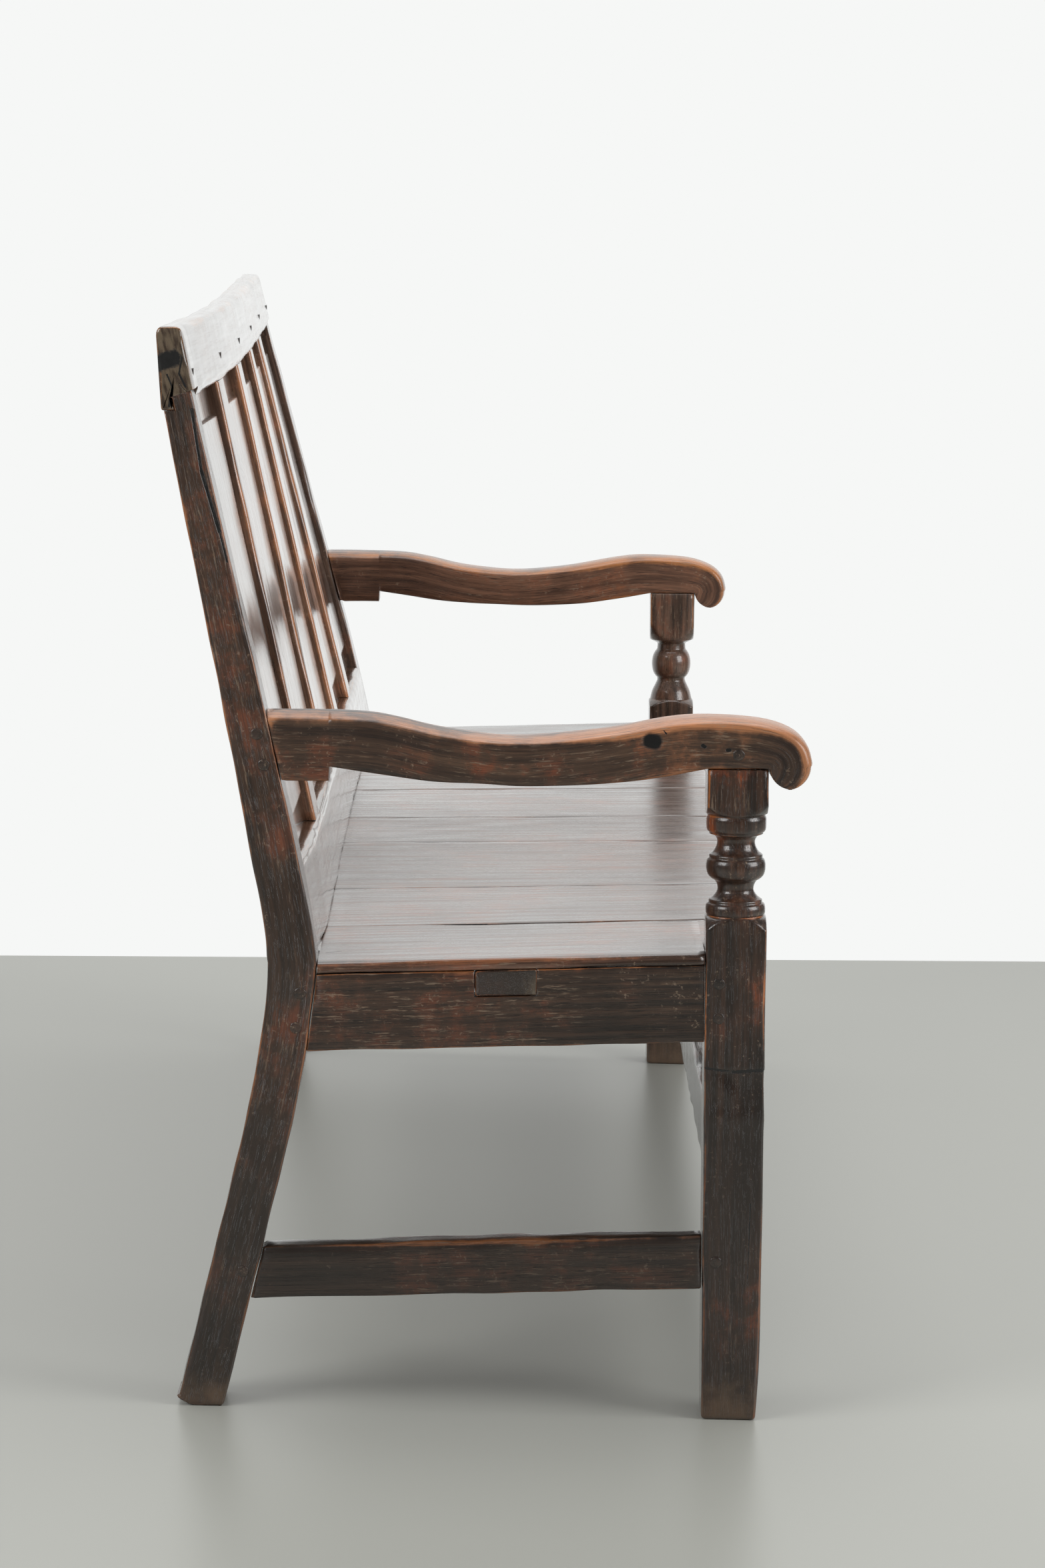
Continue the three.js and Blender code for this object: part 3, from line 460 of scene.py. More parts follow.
def end_grain(tree, at, colour):
    """Grey-brown rings, smoked dark in clouds, on the ends of timbers."""
    tone = layer(tree, "#3a2f26", "#716351", between(tree, at.rings, 0.36, 0.6))
    tone = layer(tree, tone, "#2a2019", between(tree, at.cloud, 0.52, 0.6))
    return layer(tree, colour, tone, between(tree, at.cap, 0.6, 1.0), 0.85)


# %% [markdown]
# ## Wax, dirt and relief
# The legs grow darker towards the floor, and their feet are grey with its dust. Wax wears unevenly, so
# the shine follows the blotches and the streaks. Planed oak has little relief: the bump's scale is
# 0.7 mm, and the coat of wax over it fills half of that. Scratches are pale, and cracks deep and dark.

# %% The oak finish
def old_oak(name, tones, wear, wax, relief, reddened=0.5, dust=0.0, cracks=(), scratches=(), coat=1.0,
            low_darkening=0.0, streaked=0.0):
    """Waxed oak. Tones are the deep, face and pale streaks, what wear shows, and the red patches. Wax is
    the roughness of the wood and of the coat. Cracks and scratches are lines for `mark`."""
    tones = tones.split()
    material, tree = blank_material(name)
    at = readings(tree)
    colour = streaked_colour(tree, at, tones, reddened)
    colour = rubbed_colour(tree, at, colour, tones[3], wear)
    colour = end_grain(tree, at, flecked_colour(tree, at, colour))

    # darker towards the floor: the deep tone is laid over the lower parts by this weight
    colour = layer(tree, colour, tones[0], between(tree, at.height, 0.45, 0.2), low_darkening)
    low = between(tree, weighed(tree, at.height, (at.blotch, 0.12)), 0.1, 0.05)
    colour = layer(tree, colour, "#6b543f", low, dust)
    shine = weighed(tree, wax[0] - 0.15 - 0.5 * streaked, (at.blotch, 0.3), (at.streak, streaked),
                    (low, 0.35 * dust))
    raised = weighed(tree, 0.0, (at.pore, -0.5), (at.fibre, 0.35), (at.streak, 0.6), (at.blotch, 0.6))
    if scratches:
        colour = layer(tree, colour, "#9a8a78", marks_of(tree, at, scratches), 0.75)
    if cracks:
        split = marks_of(tree, at, cracks)
        colour = layer(tree, colour, "#070504", split)
        raised, shine = weighed(tree, raised, (split, -2.5)), weighed(tree, shine, (split, 0.5))

    def bump(strength):
        inputs = {"Strength": strength, "Distance": 0.0007, "Height": raised}
        return node(tree, "Bump", inputs).outputs[0]

    shader = node(tree, "BsdfPrincipled", {
        "Base Color": colour, "Roughness": shine, "Normal": bump(relief), "IOR": 1.5, "Coat Weight": coat,
        "Coat Roughness": wax[1], "Coat IOR": 1.45, "Coat Normal": bump(relief * 0.5)})
    node(tree, "OutputMaterial", {"Surface": shader.outputs[0]})
    return material


# %% [markdown]
# ## Where age shows
# Each line below is a crack, a knot or a scratch, from one set-out place to another in millimetres,
# with its width and how ragged it is. The near end of the bench is the left one, at x = -900.

# %% Cracks, knots and scratches
def on_end(*rows):
    """Lines on the left end's faces, from the y and z of both their ends."""
    return [((-END, y0, z0), (-END, y1, z1), width, ragged) for y0, z0, y1, z1, width, ragged in rows]


FRAME_CRACKS = on_end(  # the split up the rear post, then the cracks at the front post's belt and in its leg
    (535.5, 952, 526.7, 896, 1.6, 1.2), (526.7, 896, 510.2, 840, 2.0, 1.5),
    (510.2, 840, 503.0, 812, 0.9, 1.0), (2, 338, 30, 336, 1.4, 2.0), (30, 336, 57, 340, 0.8, 1.5),
    (12, 210, 14, 132, 0.5, 0.8))
SCRATCHES = on_end(
    (339, 391.2, 320, 388.6, 0.5, 0.6), (257.4, 378.7, 207.9, 370.4, 0.6, 0.8),
    (146.5, 411.3, 138.9, 416.2, 0.6, 0.5), (132.4, 425.8, 127.6, 421.1, 0.6, 0.4),
    (106.1, 371, 102.4, 379.7, 0.5, 0.5))
ARM_KNOTS = on_end(  # a knot as wide as a thumb, and small dents
    (110.5, 648, 107, 647.5, 14.0, 2.0), (96, 655, 102, 662, 0.6, 1.0), (62, 644, 60, 643, 1.6, 2.0),
    (39, 640, 37, 640, 2.0, 1.5))
CREST_CRACKS = on_end(  # shakes in the crest's end, and a black band over them
    (541, 973, 547, 985, 0.8, 1.2), (547, 985, 544, 1000, 0.6, 1.2), (556, 955, 553, 972, 1.0, 1.6),
    (553, 972, 558, 984, 0.6, 1.0), (552, 999, 570, 993, 8.0, 9.0))
SEAT_CRACKS = [
    ((-602, 375, 438.8), (-606, 403, 438), 1.2, 1.0), ((-651, 398, 438), (-652, 412, 437.6), 1.5, 1.0),
    ((-837, 400, 438), (-843, 413, 437.6), 1.5, 1.0), ((-700, 330, 440), (-700, 262, 442), 0.8, 1.0),
    ((-512, 340, 440), (-514, 180, 444), 0.7, 0.8), ((-60, 390, 444), (-64, 200, 446), 1.2, 1.5),
    ((-150, 410, 444), (-152, 180, 446), 1.2, 1.5)]
cracks = FRAME_CRACKS + ARM_KNOTS + CREST_CRACKS + SEAT_CRACKS
print(len(cracks), "cracks and knots,", len(SCRATCHES), "scratches")

# %% Finishes
FRAME_OAK = old_oak(  # posts, rails and stretchers: nearly black, dusty at the feet
    "waxed_oak_frame", "#1e130b #483224 #705843 #a0643a #743c22", (0.5, 1.0), reddened=0.8,
    wax=(0.42, 0.16), relief=1.0, dust=0.6, cracks=FRAME_CRACKS, scratches=SCRATCHES, low_darkening=0.6)
POST_OAK = old_oak(  # the left front post: the same oak, glossier from the lathe and from sleeves
    "waxed_oak_turned_post", "#1d110a #4a3123 #6b5545 #a8622f #884220", (0.5, 1.0),
    reddened=1.1, wax=(0.32, 0.08), relief=0.6, dust=0.5, cracks=FRAME_CRACKS, low_darkening=0.6)
PAINTED_PALER_OAK = old_oak(  # the right posts: the frame's oak painted paler, a painted pool of light on the far end
    "painted_light_oak_posts", "#33251c #705444 #8c7462 #a87048 #864a2e", (0.55, 1.05),
    reddened=0.6, wax=(0.3, 0.12), relief=0.3, dust=0.6, low_darkening=0.6)
ARM_OAK = old_oak(  # the left arm, tan where hands rest
    "handled_oak_arm", "#2a1b13 #563f2f #75593f #ad734b #7a3d22", (0.45, 1.15),
    reddened=0.9, wax=(0.42, 0.22), relief=0.5, cracks=ARM_KNOTS, coat=0.6)
# the right arm: the arm's oak painted paler, a painted pool of light on the far end
PAINTED_PALER_ARM_OAK = old_oak(
    "painted_light_oak_arm", "#4b3225 #87604a #a07c62 #b0713f #94502e", (0.6, 1.25),
    reddened=0.6, wax=(0.38, 0.2), relief=0.3, coat=0.7)
SEAT_OAK = old_oak(  # polished smooth by sitting
    "sat_on_oak_boards", "#3a2a21 #6b4c3c #8a6e5b #84502f #8a523a", (0.6, 1.2),
    reddened=0.8, wax=(0.3, 0.2), relief=0.08, cracks=SEAT_CRACKS, streaked=1.0)
BACK_OAK = old_oak(  # panels, back rail and crest: the glossiest wax
    "leaned_on_oak_panels", "#3a2a20 #685040 #84695a #94602f #7c4833", (0.55, 1.05),
    wax=(0.24, 0.11), relief=0.03, cracks=CREST_CRACKS, streaked=0.5)
RUBBED_PAINTED_LIGHT_OAK = old_oak(  # muntins, rubbed brown by backs, and painted lighter still: painted light, as they are lit little
    "rubbed_oak_muntins_painted_light", "#513829 #8a6650 #a08370 #b87a50 #94553a", (0.3, 0.95),
    reddened=0.7, wax=(0.26, 0.12), relief=0.12)
PEG_OAK = old_oak(  # dark end grain of riven pins
    "oak_peg_ends", "#1a120d #3c2c22 #57463a #8a6650 #5a3622", (0.6, 1.2),
    reddened=0.2, wax=(0.4, 0.15), relief=0.5)
print(len(bpy.data.materials), "finishes:", ", ".join(m.name for m in bpy.data.materials))

# %% [markdown]
# ## Rear posts
# Each rear post is sawn from a wide plank, and kicks back above and below the seat. We carry its section
# up the height and let `post_front` and `post_back` give the depth. At the top it steps in before the
# crest's lip and stops under the crest on a slope. The foot follows the floor, its back corner worn away.

# %% Rear posts
SHELF = CREST_LOW - LIP_DEEP - GAP  # where the lip starts behind the post
FOOT_RUN = 60.0  # the floor's slope fades out over this much of a leg


def crest_seat(depth):
    """Height of the sloping top of a post, under the crest."""
    return CREST_LOW + 7.5 - 0.33 * (depth + 1)


def rear_post_place(hand):
    def place(s, a, b):
        """s is the height, a goes inwards, b from the front edge to the back one."""
        near_floor = ramp(s, FOOT_RUN, 0)
        z = s + 12 * near_floor
        back = np.where(s > SHELF + 0.05, back_plane(z) + LIP_FRONT - GAP, post_back(z))
        y = post_front(z) + b / REAR_POST_DEEP * (back - post_front(z))
        z = np.minimum(s + floor(y) * near_floor, crest_seat(y - back_plane(s)) - GAP)
        worn = 0.85 * np.clip(y - (post_back(12.0) - 13), 0, None) * ramp(s, 30, 0)
        return settled(hand * (END - a), y, np.maximum(z, floor(y) + worn))
    return place


heights = np.r_[steps(0, SHELF, every=7), SHELF + 0.1, steps(SHELF + 3, CREST_LOW + 8, every=4)]
for end, hand in SIDES:
    post = rect(0, REAR_POST, 0, REAR_POST_DEEP, 2.2, step=5)
    made = timber(post, heights, rear_post_place(hand), (4.0, 0.3), 1.5, 0.45, 10 + hand)
    piece(f"rear_post_{end}", made, FRAME_OAK if hand < 0 else PAINTED_PALER_OAK)
print("rear posts:", len(OAK["rear_post_left"].data.polygons), "faces each")

# %% [markdown]
# ## Front posts
# A turner cuts only the middle of a square billet, so the square ends stay and the cut meets them in
# arched shoulders. A lathe object cut by a box gives that too, but here the radius at each angle is the
# smaller of the square's and the turning's, softened a little where a hand has rubbed the arris. The
# left post has a rough belt where something wore it.

# %% Front posts
def through(points, n):
    """A smooth curve through points, n steps a span, each a cubic set by its neighbours."""
    p = np.array(points, float)
    p = np.concatenate([2 * p[:1] - p[1:2], p, 2 * p[-1:] - p[-2:-1]])
    t = np.linspace(0, 1, n, endpoint=False)[None, :, None]
    a, b, c, d = (p[i:len(p) - 3 + i][:, None] for i in range(4))
    spans = 0.5 * (2 * b + (c - a) * t + (2 * a - 5 * b + 4 * c - d) * t**2 + (3 * b - a - 3 * c + d) * t**3)
    return np.concatenate([spans.reshape(-1, p.shape[1]), p[-2:-1]])


LEFT_TURNING = [  # height and radius of each run between two sharp turns, from the lower shoulder up
    [(464, 46), (471, 38.5), (477, 33.5), (480.5, 29.5)],  # shoulder
    [(481, 26.5), (483.5, 28), (488, 28.3), (492, 27.2), (493.5, 25)],  # lower ring
    [(494, 25.2), (496, 25.1)],  # fillet
    [(496.3, 24.4), (499.5, 20.5), (504.5, 17.2), (509.5, 17.4), (513.5, 19.4), (515, 21)],  # cove
    [(515.6, 22.6), (519, 26), (524, 27.8), (529, 28.1), (533.5, 27), (536.3, 24.6)],  # bead
    [(536.8, 25.2), (538.6, 25.1)],
    [(539, 24.4), (542, 21), (547, 18.4), (552, 17.9), (556, 20), (557.5, 22.5)],  # neck
    [(558, 25.3), (559.8, 25.4)],
    [(560.4, 26.6), (563, 28), (568, 28.4), (573, 28.3), (576, 27)],  # upper ring
    [(577.4, 29), (579, 32), (583, 36), (590, 42)]]  # shoulder of the block
RIGHT_TURNING = [  # the other post has no ring under its block, and a cone instead of a lower ring
    [(468, 46), (473, 38.6), (477.5, 33), (481.5, 27.2)],
    [(482, 27), (492, 24.5), (500, 20.8), (506, 18)],  # cone
    [(509, 18), (514, 22), (520, 24.3), (528, 25.2), (536, 24.3), (542, 22), (547, 18.5)],  # bead
    [(552.5, 18), (555, 19), (558.5, 26)],
    [(560, 28.5), (568, 34), (575, 37), (590, 44)]]


BELT_LOW, BELT_HIGH = 297.0, 338.0
HALF = FRONT_POST / 2


def belt(direction, z):
    """Depth of the rough belt: hollows in the outer and front faces, and a slight bulge below them."""
    faced = np.clip(-direction.min(-1) * 1.4 - 0.4, 0, 1)
    dip = ramp(z, BELT_LOW, BELT_LOW + 14) * ramp(z, BELT_HIGH, BELT_HIGH - 1.5)
    spot = np.stack(np.broadcast_arrays(*np.moveaxis(direction * 30, -1, 0), z), -1)
    bulge = 0.5 * np.exp(-((z - BELT_LOW + 7) / 7) ** 2)
    return faced * (dip * (1.0 + 0.9 * swell(spot, 26, 41)) - bulge)


def front_post(hand):
    """In every direction, the lesser of the square's radius and the turning's."""
    square, edge = rect(-HALF, HALF, -HALF, HALF, 2.4, step=3.2, arc=6)
    runs = (8, 272, 8), (275, 344, 2.5), (348, 462, 8), (464, 592, 0.8), (594, 620.6, 6)
    turn = np.radians([0, 30, 60, 90])
    s = np.concatenate([[0] * 4, 4 * (1 - np.cos(turn)), *(steps(*run) for run in runs), [BED - GAP] * 3])
    rounded = 1 - 4 / HALF * (1 - np.sin(turn))
    share = np.r_[0.2, 0.45, 0.7, 0.88, rounded, np.ones(len(s) - 11), 0.97, 0.7, 0.35]
    taper = 1 - 0.035 * ramp(s, 330, 0)[:, None]
    reach = np.linalg.norm(square, axis=1)
    direction = square / reach[:, None]
    turning = np.concatenate([through(run, 6) for run in (LEFT_TURNING if hand < 0 else RIGHT_TURNING)])
    turned = np.interp(s, *turning.T, left=60, right=60)[:, None]
    spot = np.stack(np.broadcast_arrays(*square.T[:, None], s[:, None] / 2.2), -1)
    loss = 1.6 * edge[None] * np.clip(0.5 + swell(spot, 50, 30 + hand), 0, 1.5)
    loss = loss + 0.25 * swell(spot, 60, 33 + hand)
    if hand < 0:
        loss = loss + belt(direction[None], s[:, None])
    flat = (reach[None] - loss) * taper
    soft = 0.4  # over which the two blend
    least = 30 - soft * np.log(np.exp((30 - flat) / soft) + np.exp((30 - turned) / soft))
    radius = np.minimum(least, np.minimum(flat, turned)) * share[:, None]
    x = hand * (END - HALF) + direction[None, :, 0] * radius
    y = HALF + direction[None, :, 1] * radius
    stubbed = ramp(s, 85, 0)[:, None] ** 2 * ramp(y, 40, 0)  # the toe is worn away
    y = y + 3.5 * stubbed
    z = s[:, None] + floor(y) * ramp(s, FOOT_RUN, 0)[:, None]
    local = np.stack([z, x - x.mean(), y - HALF], -1)
    cut = ramp(flat - turned, 0, 3)
    ridge = np.abs(np.gradient(np.gradient(turned[:, 0])))[:, None] * cut
    weight = np.clip(edge[None] * (1 - cut) + 0.35 * cut * ramp(turned, 24, 27) + 0.7 * ridge, 0, 1)
    weight = np.clip(weight + 0.4 * stubbed, 0, 1)
    cap = np.broadcast_to(((share < 0.99) & (s < 1))[:, None] * 1.0, weight.shape)
    return np.stack([x, y, z], -1), local, weight, cap


for end, hand in SIDES:
    piece(f"front_post_{end}", front_post(hand), POST_OAK if hand < 0 else PAINTED_PALER_OAK)
print("front posts:", len(OAK["front_post_left"].data.polygons), "faces each")

# %% [markdown]
# ## Arms
# An arm is sawn to its curve from a thick board and rounded by use. Its outline turns back under itself
# at the scroll, so it can't be a height above a line. Instead pairs of points run along the top and the
# underside together, and the section is hung between each pair. Hands have worn its top and its front
# third bright, so those points count as exposed.

# %% Arms
NOSE_POINTS = 4 * 8  # four spans of eight steps
TOP = through([(-40, 623.2), (-40.8, 628.1), (-35.2, 644.4), (-20, 657.9), (9.4, 666.5), (60.8, 669.4),
               (98.3, 666.5), (159.1, 655.5), (234, 649.2), (299.5, 655.5), (346.2, 666), (383.7, 671.3),
               (467.9, 673.2)], 8)
NOSE, CROWN = TOP[NOSE_POINTS::-1], TOP[NOSE_POINTS:]
BELLY = through([(57, 621.4), (98.3, 613.7), (135.7, 608), (182.5, 605.1), (219.9, 604.4), (257.3, 605.3),
                 (318.2, 608.4), (369.6, 615.6), (408.9, 621.4)], 8)
BLOCK_LOW = 607.9  # underside of the block at the rear post
SCROLL = -20.0, 623.2, 20.0  # its centre, back and up, and its radius
ARM_DEEP = 56.0  # height of the section before it is hung


def arm_pairs():
    """Pairs of points, top and underside, from the rear post to the end of the scroll."""
    def hung(depths, low):
        """Pairs straight above each other, from the crown down to a lower line."""
        return [(y, np.interp(y, *CROWN.T), y, z) for y, z in zip(depths, low + 0 * np.array(depths))]

    block = hung([457, 444, 428, 409.7, 409.2], BLOCK_LOW)
    depths = np.r_[408.7, np.linspace(405, 60, 60), 57.5]
    belly = hung(depths, np.interp(depths, *BELLY.T))
    bed = hung(np.linspace(56, 12, 8), BED)
    share = np.linspace(0, 1, 17)
    tip = NOSE[np.round(share * NOSE_POINTS).astype(int)]
    nose = [(*p, 10 - 10 * t, BED) for p, t in zip(tip, share)]
    turn = np.radians(np.linspace(5.2, 84, 14))
    y, z, radius = SCROLL
    out, down = radius * np.cos(turn), z - radius * np.sin(turn)
    scroll = np.stack([y - out, down, y + out, down], -1)
    return np.array([*block, *belly, *bed, *nose, *scroll])


def arm(hand):
    pairs = arm_pairs()
    number = np.arange(len(pairs), dtype=float)

    def place(s, a, b):
        """s counts the pairs, a goes inwards, b up from the underside."""
        y1, z1, y0, z0 = (np.interp(s, number, line) for line in pairs.T)
        x, y, z = hand * (END - a), y0 + b / ARM_DEEP * (y1 - y0), z0 + b / ARM_DEEP * (z1 - z0)
        lean = settled(x, post_front(z), z)[..., 1] - OPEN
        y = y + (lean - pairs[0, 0]) * ramp(s, 3, 0)
        return np.stack([x, y, z], -1)

    shape = rect(0, FRONT_POST, 0, ARM_DEEP, [2.5, 2.5, (9, 23), (23, 9)], step=3.5, arc=12)
    rings, local, weight, cap = timber(shape, number, place, (0.4, 0.4), 1.2, 0.35, 50 + hand)
    along = np.r_[0, np.cumsum(np.linalg.norm(np.diff(rings.mean(1), axis=0), axis=1))]
    upper = ramp(local[..., 2], 40, 52)
    forward = ramp(rings[..., 1], 210, 90) * ramp(local[..., 2], -15, 15)
    thick = np.interp(local[..., 0], number, np.linalg.norm(pairs[:, :2] - pairs[:, 2:], axis=1))
    down = (1 - local[..., 2] / ARM_DEEP) * thick
    local = np.stack([along[:, None] + 0 * thick, local[..., 1], ARM_DEEP - down], -1)
    return rings, local, np.clip(weight * 0.6 + 0.6 * upper + 0.6 * forward, 0, 1.3), 0 * cap


for end, hand in SIDES:
    piece(f"arm_{end}", arm(hand), ARM_OAK if hand < 0 else PAINTED_PALER_ARM_OAK)
print("arms:", len(OAK["arm_left"].data.polygons), "faces each")

# %% [markdown]
# ## Rails, stretchers and the bearer
# The side members run from the front post to the raked rear post, so the last stretch of each is drawn
# to that post's line. The long members lie along the bench. The bearer under the seat is let into the
# side rails, where its ends show, so the rails are cut down for it.

# %% Side and long members
RAIL, STRETCHER, BEARER = 73.0, 52.0, 25.0  # depths of the members
BEARER_FRONT, BEARER_BACK = 214.6, 272.6
UNDER = SEAT - 11.3  # the rails' tops, under the boards
DRAWN = 380.0  # from here on a side member is drawn to the rear post


def side_place(hand, top, deep, cut):
    def place(s, a, b):
        """s is the depth, a goes inwards, b up the member, which is cut down under the bearer."""
        b = np.where((s > BEARER_FRONT - GAP) & (s < BEARER_BACK + GAP), np.minimum(b, cut), b)
        low = top - deep + b
        end = post_front(low - SEAT_SLOPE * REACH) - OPEN
        y = np.minimum(s, DRAWN) + ramp(s, DRAWN, REACH) * (end - DRAWN)
        return np.stack([hand * (END - 2 - a), y, low - SEAT_SLOPE * y], -1)
    return place


def long_place(s, a, b):
    """s runs along the bench, a is the depth, b the height at the front."""
    return np.stack([s, a, b - SEAT_SLOPE * a], -1)


shoulder = FRONT_POST + OPEN
run = np.unique(np.r_[steps(shoulder, REACH, every=9), step_at(BEARER_FRONT - GAP, BEARER_BACK + GAP)])
for end, hand in SIDES:
    shape, place = rect(0, 30, 0, RAIL, 1.6, step=5), side_place(hand, UNDER, RAIL, RAIL - BEARER - OPEN)
    piece(f"side_rail_{end}", timber(shape, run, place, (1, 1), 0.9, 0.4, 70 + hand), FRAME_OAK)
    shape = rect(0, 28, 0, STRETCHER, [2, 2, (3, 5), (6, 5)], step=4)
    place = side_place(hand, 181, STRETCHER, STRETCHER)
    made = timber(shape, steps(shoulder, REACH, every=7), place, (1.5, 1.5), 2.2, 0.5, 80 + hand)
    piece(f"side_stretcher_{end}", made, FRAME_OAK)

inner = END - FRONT_POST - 0.5
long_members = {  # section, and half the length
    "front_rail": (rect(4, 34, UNDER - RAIL, UNDER, 2, step=7), inner),
    "rear_rail": (rect(REACH + 14.5, REACH + REAR_POST_DEEP, UNDER - RAIL, UNDER, 2, step=7), SPAN / 2 - 0.5),
    "seat_bearer": (rect(BEARER_FRONT, BEARER_BACK, UNDER - BEARER, UNDER, 2, step=5), END - 2),
    "front_stretcher": (rect(2, 30, 114.4, 183.4, [2, 2, (4, 6), (5, 4)], step=6), inner)}
for i, (name, (shape, half)) in enumerate(long_members.items()):
    piece(name, timber(shape, steps(-half, half, every=14), long_place, (1, 1), 1.4, 0.6, 90 + i), FRAME_OAK)
print(len(OAK), "pieces")

# %% [markdown]
# ## Seat boards
# Eight boards run from front to back, each a little cupped, with dark open joints between them. The
# outer boards are notched round the posts: at a notch two stations lie almost together, one wide and
# one narrow. Towards the middle the boards have kept level, while the rails at the ends sank to the
# back: `lift` is what their tops stand above the set-out line.

# %% Seat boards
NOTCH_END = END - FRONT_POST - OPEN  # the outer boards end here beside the posts
BOARD, ACROSS = 11.0, 200.0  # thickness, and the width of the section before it is stretched
shares = np.array([0.111, 0.232, 0.399, 0.503, 0.633, 0.756, 0.878])
joints = np.r_[1 - END, (shares - 0.5) * LENGTH, END - 1]


def lift(x, y):
    """How far the seat has stayed above its falling line."""
    t = ramp(np.abs(x), 890, 130)
    return 7.5 * y / 415 * t * t * (3 - 2 * t)


def board_place(x0, x1, first, last):
    def place(s, a, b):
        """s is the depth, a goes across, b up from the underside."""
        notch = (s < FRONT_POST + GAP) | (s > REACH - GAP)
        left, right = np.where(notch & first, -NOTCH_END, x0), np.where(notch & last, NOTCH_END, x1)
        x = left + a / ACROSS * (right - left)
        cup = 0.35 * (2 * a / ACROSS - 1) ** 2
        drop = (b > 5) * (0.5 - cup - lift(x, s))  # the top alone is cupped and lifted
        return np.stack([x, s + 0 * a, seat_fall(s) - BOARD + b - drop], -1)
    return place


depths = np.sort(np.r_[steps(2, REACH + REAR_POST_DEEP, every=9), step_at(FRONT_POST + GAP, REACH - GAP)])
for i, (x0, x1) in enumerate(zip(joints, joints[1:])):
    first, last = i == 0, i == 7
    open_side, arris = (6 * ACROSS / (x1 - x0), 5.5), (1.3, 1.2)  # radii across and down
    right, left = open_side if last else arris, open_side if first else arris
    shape = rect(0, ACROSS, 0, BOARD, [1.2, 1.2, right[::-1], left], step=7)
    place = board_place(x0 + 0.35 * (not first), x1 - 0.35 * (not last), first, last)
    made = timber(shape, depths, place, (4.5, 1), 1.7 if first or last else 0.5, 0.12, 110 + i)
    piece(f"seat_board_{i + 1}", made, SEAT_OAK)
print("seat boards:", [round(b - a) for a, b in zip(joints, joints[1:])], "mm wide")

# %% [markdown]
# ## The back
# The back rail, muntins and crest are timbers on the leaning plane of the back. A fielded panel is a
# board whose borders are cut down all round. It is a grid, whose depth depends on the distance to the
# nearest edge, and its rim stays hidden in the grooves.

# %% Back rail, muntins and crest
RAIL_FOOT = REACH - 22  # where the seat's height is taken for the back rail
RAIL_LOW = seat_fall(RAIL_FOOT) + OPEN
RAIL_THICK, MUNTIN_THICK = 22.0, 18.0
LIP_LOW = CREST_LOW - LIP_DEEP


def rail_place(s, a, b):
    """s runs along the bench, a is the depth, b the height. The lower edge keeps above the seat, and the
    front falls back to the left post at that end."""
    level = 4.4 * ramp(s, -690, -840) * (1 - a / RAIL_THICK)
    return on_back(s, a + level, b + ramp(b, BACK_RAIL_TOP, RAIL_LOW) * lift(s, RAIL_FOOT))


top = BACK_RAIL_TOP
outline = [(2, RAIL_LOW), (RAIL_THICK, RAIL_LOW), (RAIL_THICK, top), (0, top), (-3.5, top - 4)]
half = SPAN / 2 - OPEN
shape = section(outline, [1.5, 1.5, 1.5, 1.2, 1.2], step=6)
made = timber(shape, steps(-half, half, every=14), rail_place, (1, 1), 0.9, 0.4, 130)
piece("back_rail", made, BACK_OAK)

PANEL = (SPAN - 4 * MUNTIN) / 5
shape = rect(-MUNTIN / 2, MUNTIN / 2, 0, MUNTIN_THICK, [4.5, 4.5, 1.5, 1.5], step=6)
for i in range(4):
    def muntin_place(s, a, b):
        """s is the height, a across, b the depth."""
        return on_back(-SPAN / 2 + (i + 1) * (PANEL + MUNTIN) - MUNTIN / 2 + a, b, s)
    stations = steps(top + OPEN, CREST_LOW - OPEN, every=9)
    made = timber(shape, stations, muntin_place, (0.6, 0.6), 1.0, 0.2, 140 + i)
    piece(f"muntin_{i + 1}", made, RUBBED_PAINTED_LIGHT_OAK)


def crest_place(s, a, b):
    """s runs along the bench, a is the depth, b the height. Over the posts the underside is cut up to
    its seat, and at both ends the front corner is worn back in a curve."""
    over_post = np.abs(s) > SPAN / 2 - GAP
    z = np.where(over_post & (a < LIP_FRONT - GAP), np.maximum(b, crest_seat(a) + 0.2), b)
    gone = 2 * ramp(np.abs(s), END - 16, END) ** 2
    front = -4.8 * ramp(z, CREST_LOW, CREST_LOW + 8) - 0.02 * np.clip(z - CREST_LOW - 8, 0, None)
    return on_back(s, np.maximum(a, front + gone), z)


outline = [(LIP_FRONT, CREST_LOW), (LIP_FRONT, LIP_LOW), (30.64, LIP_LOW), (LIP_FRONT, CREST_TOP),
           (-5.96, CREST_TOP), (-4.8, CREST_LOW + 8), (0, CREST_LOW)]
shape = section(outline, [0.8, 1.2, 2.5, (9, 6), 7, 2.0, 1.0], step=4)
along = np.r_[steps(-END, -SPAN / 2 - 0.5, every=4), 0.6 - SPAN / 2]
along = np.r_[along, steps(-840, 840, every=12), -along[::-1]]
piece("crest_rail", timber(shape, along, crest_place, (2.5, 2.5), 1.5, 0.12, 150), BACK_OAK)
print("muntins", round(PANEL, 1), "mm apart")

# %% Fielded panels
BORDER, TONGUE, SLOPE = 30.0, 8.0, 3.0  # widths of border, rim in the grooves, and slope
BORDER_DEPTH, FIELD_DEPTH, BACK_DEPTH = 11.9, 6.5, 13.0  # behind the muntins' front


